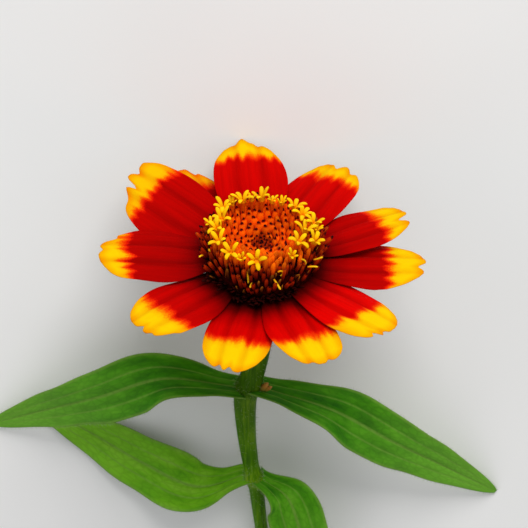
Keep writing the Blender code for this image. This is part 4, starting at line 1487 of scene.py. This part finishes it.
@dataclass
class Involucre:
    """Three overlapping series of green bracts that cup the underside of the head."""

    series: tuple = (
        Series("inner_bract", (4.85, -5.0), (6.2, -3.3), (7.7, -1.5), 4.4, 0.0),
        Series("middle_bract", (3.8, -6.7), (6.4, -5.9), (7.9, -3.2), 4.6, 22.5),
        Series("outer_bract", (3.05, -8.2), (5.6, -8.1), (7.3, -5.4), 4.1, 5.0),
    )
    per_series: int = 8
    base_share: float = 0.45  # of the full width
    widest_at: float = 0.6
    round_end: float = 0.30  # how far the tip's corners fall back, as a share of the length
    rib_relief: float = 0.05
    rib_pitch: float = 12  # radians of the ribs' wave in half the width
    furrow: float = 0.12  # depth and half width of the groove along the midline
    furrow_width: float = 0.1
    sheet: Pair = (2.2, 4.5)  # half the width and the length that the bract's map covers
    thickness: float = 0.22
    side_taper: float = 4  # how fast the thickness grows inwards from the sides and from the tip
    tip_taper: float = 5
    columns: int = 14
    rows: int = 14
    fringe: int = 26  # hairs on each bract, and how many of their spacings make half its width
    fringe_spacings: float = 12.6
    fringe_length: float = 0.4
    fringe_radius: float = 0.03
    fringe_seed: int = 8

    def point(self, series: Series, across: float, share: float) -> Vector:
        """A point of a bract's middle surface, curved about the head's axis.

        Args:
            series: The bract's series.
            across: The place across, from -1 to 1.
            share: The place along, from 0 to 1.

        Returns:
            The point, with x outwards.
        """
        t = share * (1 - self.round_end * abs(across) ** 2.5)
        base, control, tip = (Vector(pair) for pair in (series.base, series.control, series.tip))
        radius, height = base * (1 - t) ** 2 + control * 2 * t * (1 - t) + tip * t * t
        half = series.width / 2 * (self.base_share + (1 - self.base_share) * smooth(t / self.widest_at))
        angle = half * across / radius
        furrow = self.furrow * bell(across, 0.0, self.furrow_width)
        radius += self.rib_relief * math.cos(across * self.rib_pitch) - furrow
        return Vector((radius * math.cos(angle), radius * math.sin(angle), height))

    def weight(self, across: float, share: float) -> float:
        """The share of its thickness that a bract has there."""
        return min(1.0, (1 - abs(across)) * self.side_taper, (1 - share) * self.tip_taper)

    def fringe_roots(self, series: Series, turn: Matrix) -> list[tuple[Vector, Vector]]:
        """The hairs along a bract's rounded end.

        Args:
            series: The bract's series.
            turn: The bract's turn about the head's axis.

        Returns:
            Each hair's root and direction.
        """
        roots = []
        for step in range(self.fringe):
            across = (step - (self.fringe - 1) / 2) / self.fringe_spacings
            root = self.point(series, across, 1.0)
            inside = self.point(series, across * 0.9, 1.0 - 0.12)
            roots.append((turn @ root, turn @ (root - inside)))
        return roots

    def build(self) -> None:
        """Builds and dresses the bracts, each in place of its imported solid, and their fringes."""
        finishes = [BRACT_BACK.make(), LEAF_LOWER.make()]
        maps = {"span": lambda across, share: (across, share),
                "sheet": lambda across, share: (across * self.sheet[0], share * self.sheet[1])}
        fringe = []
        for series in self.series:
            for number in range(self.per_series):
                turn = turned(series.first_azimuth + 360 / self.per_series * number)
                work = bend_grid(self.columns, self.rows, partial(self.point, series), maps, self.weight)
                bmesh.ops.reverse_faces(work, faces=work.faces)
                piece = add_piece(f"{series.kind}_leaf_{number + 1}", work, finishes, Slot.BRACT,
                                  HEAD_MM @ turn, [f"{series.kind}_{number + 1}"])
                thicken(piece, self.thickness)
                fringe += self.fringe_roots(series, turn)
        grow_hairs("bract_fringe", fringe, DARK_FRINGE.make(), Slot.BRACT, HEAD_MM, self.fringe_length,
                   self.fringe_radius, self.fringe_seed)


@dataclass
class Stem:
    """The receptacle and the stem below it, ribbed and hairy, with a fresh cut end."""

    # The receptacle's rings as radius and height, the stem's midline as x and height, its radii by height
    receptacle: tuple = ((1.0, 1.7), (3.0, 1.65), (4.9, 1.5), (5.55, 1.2), (5.6, -1.2), (5.3, -2.6),
                         (4.3, -5.0), (3.0, -7.2))
    line: tuple = ((0.0, -9.0), (0.1, -17.0), (-0.7, -23.0), (-1.9, -29.0), (-1.6, -37.0), (-0.8, -44.0),
                   (0.2, -49.0), (1.1, -57.0), (1.8, -63.0), (2.3, -69.6))
    radii: tuple = ((-69.6, 1.1), (-60.0, 1.15), (-50.5, 1.3), (-48.0, 1.75), (-45.5, 1.35), (-38.0, 1.6),
                    (-29.5, 1.95), (-27.0, 2.3), (-24.5, 2.0), (-18.0, 1.95), (-9.0, 2.15))
    step: float = 0.6
    sides: int = 36
    ribs: int = 9
    rib_height: float = 0.035  # as a share of the radius
    rib_start: float = 4  # how far below the receptacle the ribs have their full height
    rib_turn: float = 0.03  # radians by which they wind in a millimetre
    cut_rings: tuple = ((1, 0.14, 0.0), (1, 0.3, -0.03), (2, 0.3, -0.04))  # finish, width and depth of each
    hairs: int = 1500
    node_hairs: int = 5  # one hair in so many stands at a node, which spreads them by so much
    node_spread: Pair = (0.4, 0.9)
    hair_foot: float = 0.98  # as a share of the radius
    hair_rise: float = 0.35
    hair_length: float = 0.55
    hair_radius: float = 0.022
    hair_seed: int = 22
    seed: int = 21

    def centre(self, height: float) -> Vector:
        """The stem's midline.

        Args:
            height: The height on the head's axis.

        Returns:
            The midline's point there.
        """
        depths = [-z for _, z in self.line]
        places = [(depth, index / (len(depths) - 1)) for index, depth in enumerate(depths)]
        here = along([(x, 0.0, z) for x, z in self.line], read_profile(places, -height))
        return Vector((here.x, 0.0, height))

    def radius(self, height: float, angle: float) -> float:
        """The stem's radius with its ribs.

        Args:
            height: The height on the head's axis.
            angle: The angle round the stem, in radians.

        Returns:
            The radius there.
        """
        ribbed = self.rib_height * smooth((self.line[0][1] - height) / self.rib_start)
        mean = read_profile(self.radii, height)
        return mean * (1 + ribbed * math.cos(self.ribs * angle + self.rib_turn * height) - ribbed)

    def build(self) -> None:
        """Builds the body with its cut end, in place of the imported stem, and the coat of hairs."""
        work = bmesh.new()
        top, bottom = self.line[0][1], self.line[-1][1]
        count = round((top - bottom) / self.step)
        stations = [ring_at(height, radius) for radius, height in self.receptacle]
        stations += [Matrix.Translation(self.centre(top + (bottom - top) * step / count))
                     for step in range(count + 1)]
        loft(work, self.sides, stations)
        for vert in work.verts:
            if vert.co.z < top + 0.01:
                centre = self.centre(vert.co.z)
                angle = math.atan2(vert.co.y, vert.co.x - centre.x)
                out = Vector((math.cos(angle), math.sin(angle), 0))
                vert.co = centre + out * self.radius(vert.co.z, angle)
        bmesh.ops.recalc_face_normals(work, faces=work.faces)
        cut = min(work.faces, key=lambda face: face.calc_center_median().z)
        for finish, width, depth in self.cut_rings:
            bmesh.ops.inset_individual(work, faces=[cut], thickness=width, depth=depth)
            cut.material_index = finish
        add_piece("ribbed_stem", work, [StemSkin().make(), CUT_FLESH.make(), CUT_PITH.make()], Slot.STEM,
                  HEAD_MM, ["stem"])
        grow_hairs("stem_hairs", self.hair_roots(), PALE_HAIR.make(), Slot.STEM, HEAD_MM, self.hair_length,
                   self.hair_radius, self.hair_seed)

    def hair_roots(self) -> list[tuple[Vector, Vector]]:
        """The hairs all over the stem, denser at its nodes, apart from those that would reach into the floor.

        Returns:
            Each hair's root and direction.
        """
        chance = random.Random(self.seed)
        roots = []
        for number in range(self.hairs):
            height, angle = chance.uniform(self.line[0][1], self.line[-1][1]), chance.uniform(0, math.tau)
            if number % self.node_hairs == 0:
                height = chance.choice((UPPER_NODE, LOWER_NODE)).z + chance.gauss(*self.node_spread)
            out = Vector((math.cos(angle), math.sin(angle), 0))
            root = self.centre(height) + out * self.radius(height, angle) * self.hair_foot
            if (HEAD_MM @ (root + out)).z > 0.1 * MM:
                roots.append((root, out + Vector((0, 0, self.hair_rise))))
        return roots


@dataclass(frozen=True)
class Leaf:
    """One leaf: the stem's node, its midline from there in the scene's directions, and its blade."""

    name: str
    node: Vector
    midline: tuple
    width: float
    base_share: float  # of the full width
    base_normal: tuple
    tip_normal: tuple
    fold: float  # how steeply its halves rise from the midrib
    finish: LeafFace


@dataclass
class Leaves:
    """The two pairs of opposite, stalkless leaves, which droop until their tips lie on the surface."""

    leaves: tuple = (
        Leaf("upper_leaf_left", UPPER_NODE,
             ((-2.85, 0.2, 0.2), (-13.8, 0.9, -0.4), (-24.8, -4.6, -4.0), (-34.6, -9.9, -9.2),
              (-44.5, -15.3, -14.25)), 9.8, 0.55, (0.0, 0.95, 0.31), (0.1, 0.0, 1.0), 0.10, LEAF_UPPER),
        Leaf("upper_leaf_right", UPPER_NODE,
             ((2.85, 0.0, 0.2), (14.0, -3.8, -0.7), (24.5, -11.0, -4.3), (34.4, -18.0, -9.2),
              (44.0, -25.0, -14.25)), 9.4, 0.55, (0.0, 0.95, 0.31), (0.1, 0.0, 1.0), 0.10, LEAF_UPPER),
        Leaf("lower_leaf_left", LOWER_NODE,
             ((-2.4, -0.2, -0.6), (-10.1, -3.2, -2.0), (-19.6, -0.6, -5.2), (-29.6, 4.4, -7.1),
              (-39.0, 9.0, -7.6)), 10.4, 0.40, (-0.2, 0.8, 0.5), (0.0, 0.0, 1.0), 0.06, LEAF_LIT),
        Leaf("lower_leaf_right", LOWER_NODE,
             ((2.0, -0.3, 1.0), (6.0, -2.6, 2.8), (9.0, -11.5, 1.6), (12.4, -22.5, -4.0),
              (18.0, -33.5, -7.6)), 9.6, 0.36, (-0.1, 0.85, 0.5), (0.0, 0.0, 1.0), 0.08, LEAF_HALF_IN_PAINTED_SHADE),
    )
    thickness: float = 0.32
    side_taper: float = 5  # how fast the thickness grows inwards from the sides and from the tip
    tip_taper: float = 12
    tip_weight: float = 0.1  # share of the thickness that is left at the very tip
    columns: int = 32
    rows: int = 96
    widest_at: float = 0.36  # as a share of the length
    tip_share: float = 0.06  # of the width
    taper_power: float = 2.1
    levelled_at: float = 0.625  # where the blade has turned from its base's normal to its tip's
    clasp_end: float = 0.10  # how far along the base still wraps round the stem
    clasp_limit: float = 0.85
    join: float = 1.5  # how far the base reaches into the stem's node
    relief_start: float = 0.12  # from where veins and waves have their full relief, and up to where
    relief_end: float = 0.6
    vein_depth: float = 0.32
    side_vein: float = 0.46
    side_vein_depth: float = 0.16
    vein_width: float = 0.07
    wave: float = 0.28  # height of the waves of the margins
    wave_pitch: float = 26  # radians of them in the length
    map_step: float = 30  # sets the leaves apart on their map, so that no two are alike
    hairs: int = 420  # on each leaf's two margins
    hair_length: float = 0.42
    hair_radius: float = 0.028
    hair_rise: float = 0.35
    hair_seed: int = 40

    def frame_at(self, leaf: Leaf, share: float) -> tuple[Vector, Vector, Vector, Vector, float]:
        """The leaf's own directions and width at a share of its length.

        Args:
            leaf: The leaf.
            share: The share of its length.

        Returns:
            The midline's point, its tangent, the side, the normal, and half the width.
        """
        centre = along(leaf.midline, share)
        tangent = along(leaf.midline, min(share + 0.01, 1.0)) - along(leaf.midline, max(share - 0.01, 0.0))
        tangent.normalize()
        levelled = smooth(share / self.levelled_at)
        normal = Vector(leaf.base_normal).lerp(Vector(leaf.tip_normal), levelled).normalized()
        side = normal.cross(tangent).normalized()
        growth = leaf.base_share + (1 - leaf.base_share) * smooth(share / self.widest_at)
        past = max(share - self.widest_at, 0.0) / (1 - self.widest_at)
        taper = self.tip_share + (1 - self.tip_share) * (1 - past ** self.taper_power)
        return centre, tangent, side, tangent.cross(side), leaf.width / 2 * growth * taper

    def point(self, leaf: Leaf, across: float, share: float) -> Vector:
        """A point of the leaf's middle surface, measured from its stem node.

        Args:
            leaf: The leaf.
            across: The place across, from -1 to 1.
            share: The place along, from 0 to 1.

        Returns:
            The point in millimetres.
        """
        centre, tangent, side, normal, half = self.frame_at(leaf, share)
        seat = Vector(leaf.midline[0])
        clasp = (seat - AXIS * seat.dot(AXIS)).length
        reach = min((side - AXIS * side.dot(AXIS)).length * abs(half * across), clasp * self.clasp_limit)
        at_base = max(1 - share / self.clasp_end, 0.0) ** 2
        wrap = (clasp - math.sqrt(clasp ** 2 - reach ** 2)) * at_base + self.join * at_base
        past = (share - self.relief_end) / (1 - self.relief_end)
        calm = smooth(share / self.relief_start) * (1 - smooth(past))
        relief = -self.vein_depth * bell(across, 0.0, self.vein_width)
        relief -= self.side_vein_depth * sum(bell(across, turn * self.side_vein, self.vein_width)
                                             for turn in (-1, 1))
        relief += self.wave * across ** 2 * math.sin(
            share * self.wave_pitch + leaf.width * 7 + 2 * math.copysign(1, across))
        return (centre + side * half * across + normal * (leaf.fold * half * abs(across) + relief * calm)
                - tangent * wrap)

    def weight(self, across: float, share: float) -> float:
        """The share of its thickness that a leaf has there."""
        return min(1.0, (1 - abs(across)) * self.side_taper, (1 - share) * self.tip_taper + self.tip_weight)

    def sheet_map(self, leaf: Leaf, number: int, across: float, share: float) -> Pair:
        """The place on the leaf in millimetres, apart from the other leaves' places.

        Args:
            leaf: The leaf.
            number: Its number.
            across: The place across.
            share: The place along.

        Returns:
            The map's two coordinates.
        """
        spans = zip(leaf.midline, leaf.midline[1:])
        long = sum((Vector(end) - Vector(start)).length for start, end in spans)
        return across * leaf.width / 2 + self.map_step * number, share * long

    def hair_roots(self, leaf: Leaf) -> list[tuple[Vector, Vector]]:
        """The hairs along a leaf's two margins.

        Args:
            leaf: The leaf.

        Returns:
            Each hair's root and direction.
        """
        roots = []
        for step in range(self.hairs):
            side, share = (-1, 1)[step % 2], (step + 0.5) / self.hairs
            root = self.point(leaf, side * 0.995, share)
            out = (root - self.point(leaf, side * 0.85, share)).normalized()
            roots.append((root, out + self.frame_at(leaf, share)[3] * self.hair_rise))
        return roots

    def build(self) -> None:
        """Builds and dresses the leaves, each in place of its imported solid, and their margins' hairs."""
        lower, hair = LEAF_LOWER.make(), PALE_HAIR.make()
        made = {finish: finish.make() for finish in dict.fromkeys(leaf.finish for leaf in self.leaves)}
        for number, leaf in enumerate(self.leaves):
            maps = {"span": lambda across, share: (across, share),
                    "sheet": partial(self.sheet_map, leaf, number)}
            work = bend_grid(self.columns, self.rows, partial(self.point, leaf), maps, self.weight)
            place = Matrix.Translation(HEAD @ (leaf.node * MM)) @ Matrix.Scale(MM, 4)
            piece = add_piece(f"{leaf.name}_blade", work, [made[leaf.finish], lower], Slot.LEAF, place,
                              [leaf.name])
            thicken(piece, self.thickness)
            grow_hairs(f"{leaf.name}_hairs", self.hair_roots(leaf), hair, Slot.LEAF, place, self.hair_length,
                       self.hair_radius, self.hair_seed + number)


@dataclass
class AxilBud:
    """The small brown bud in the right upper leaf's axil, as two overlapping scales."""

    # Each scale as its foot's place beside the node and up the stem, its tilt and its size
    scales: tuple = ((2.5, 0.9, 35, 1.0), (3.0, 0.7, 60, 0.8))
    depth: float = -0.9
    rings: tuple = ((-0.6, 0.35), (0.1, 0.55), (0.7, 0.5), (1.2, 0.3), (1.5, 0.08))  # as height and radius
    sides: int = 8

    def build(self) -> None:
        """Builds the bud as one piece."""
        work = bmesh.new()
        for x, z, tilt, size in self.scales:
            spot = Matrix.Translation(UPPER_NODE + Vector((x, self.depth, z))) @ turned(tilt, "Y")
            rings = [spot @ ring_at(height * size, radius * size) for height, radius in self.rings]
            loft(work, self.sides, rings)
        bmesh.ops.recalc_face_normals(work, faces=work.faces)
        add_piece("axil_bud", work, [AXIL_BUD.make()], Slot.LEAF, HEAD_MM)


@dataclass(frozen=True)
class Lamp:
    """One square lamp: its power in watts, and its size and place in metres."""

    name: str
    power: float
    size: float
    place: tuple


@dataclass
class Studio:
    """A plain pale floor, soft light and the camera at the photograph's angle."""

    camera_rise: float = 50.0  # from the head's axis round towards +Z
    roll: float = 2.0
    distance: float = 307.0
    lens: float = 134.8
    sensor: float = 36.0
    offset: Pair = (0.388, -0.31)  # of the camera along its own right and up
    floor_size: float = 1.2  # half its side, in metres
    surround: str = "#f4f6fa"
    surround_strength: float = 0.5
    lamps: tuple = (Lamp("key", 4.4, 0.45, (0.1, 0.66, 0.42)), Lamp("fill", 0.6, 0.7, (-0.6, -0.25, 0.5)))

    def build(self) -> None:
        """Builds the floor, the lights and the camera."""
        self.lay_floor()
        self.set_lights()
        self.set_camera()

    def lay_floor(self) -> None:
        """Lays the floor at the height that the flower rests on."""
        work = bmesh.new()
        bmesh.ops.create_grid(work, x_segments=1, y_segments=1, size=self.floor_size)
        mesh = bpy.data.meshes.new("floor")
        work.to_mesh(mesh)
        work.free()
        mesh.materials.append(PALE_BOARD.make())
        floor = bpy.data.objects.new("floor", mesh)
        bpy.context.collection.objects.link(floor)

    def set_lights(self) -> None:
        """Sets a pale surround, a large soft key from the picture's top and a weak fill from its left."""
        world = bpy.data.worlds.new("studio")
        bpy.context.scene.world = world
        world.use_nodes = True
        surround = world.node_tree.nodes["Background"]
        surround.inputs["Color"].default_value = linear(self.surround)
        surround.inputs["Strength"].default_value = self.surround_strength
        for lamp in self.lamps:
            light = bpy.data.lights.new(lamp.name, "AREA")
            light.energy = lamp.power
            light.size = lamp.size
            stand = bpy.data.objects.new(lamp.name, light)
            bpy.context.collection.objects.link(stand)
            stand.location = lamp.place
            stand.rotation_euler = (Vector(lamp.place) - HEAD_CENTRE).to_track_quat("Z", "Y").to_euler()
        bpy.context.scene.view_settings.view_transform = "Standard"

    def set_camera(self) -> None:
        """Sets the camera at the photograph's angle and framing."""
        rise, roll = math.radians(RECLINE + self.camera_rise), math.radians(self.roll)
        toward = Vector((0, math.cos(rise), math.sin(rise)))
        level, upright = Vector((1, 0, 0)), Vector((0, math.sin(rise), -math.cos(rise)))
        right = level * math.cos(roll) + upright * math.sin(roll)
        up = upright * math.cos(roll) - level * math.sin(roll)
        data = bpy.data.cameras.new("camera")
        data.lens = self.lens
        data.sensor_width = self.sensor
        camera = bpy.data.objects.new("camera", data)
        bpy.context.collection.objects.link(camera)
        place = HEAD_CENTRE + (toward * self.distance + right * self.offset[0] + up * self.offset[1]) * MM
        camera.matrix_world = Matrix.Translation(place) @ Matrix((right, up, toward)).transposed().to_4x4()
        bpy.context.scene.camera = camera


def main() -> None:
    """Builds the studio and the flower, sub-assembly by sub-assembly."""
    logging.basicConfig(level=logging.INFO, format="%(message)s")
    for part in (Studio(), Stem(), RayFlorets(), Disc(), OpenFlorets(), StyleArms(), Involucre(), Leaves(),
                 AxilBud()):
        part.build()


if __name__ == "__main__":
    main()
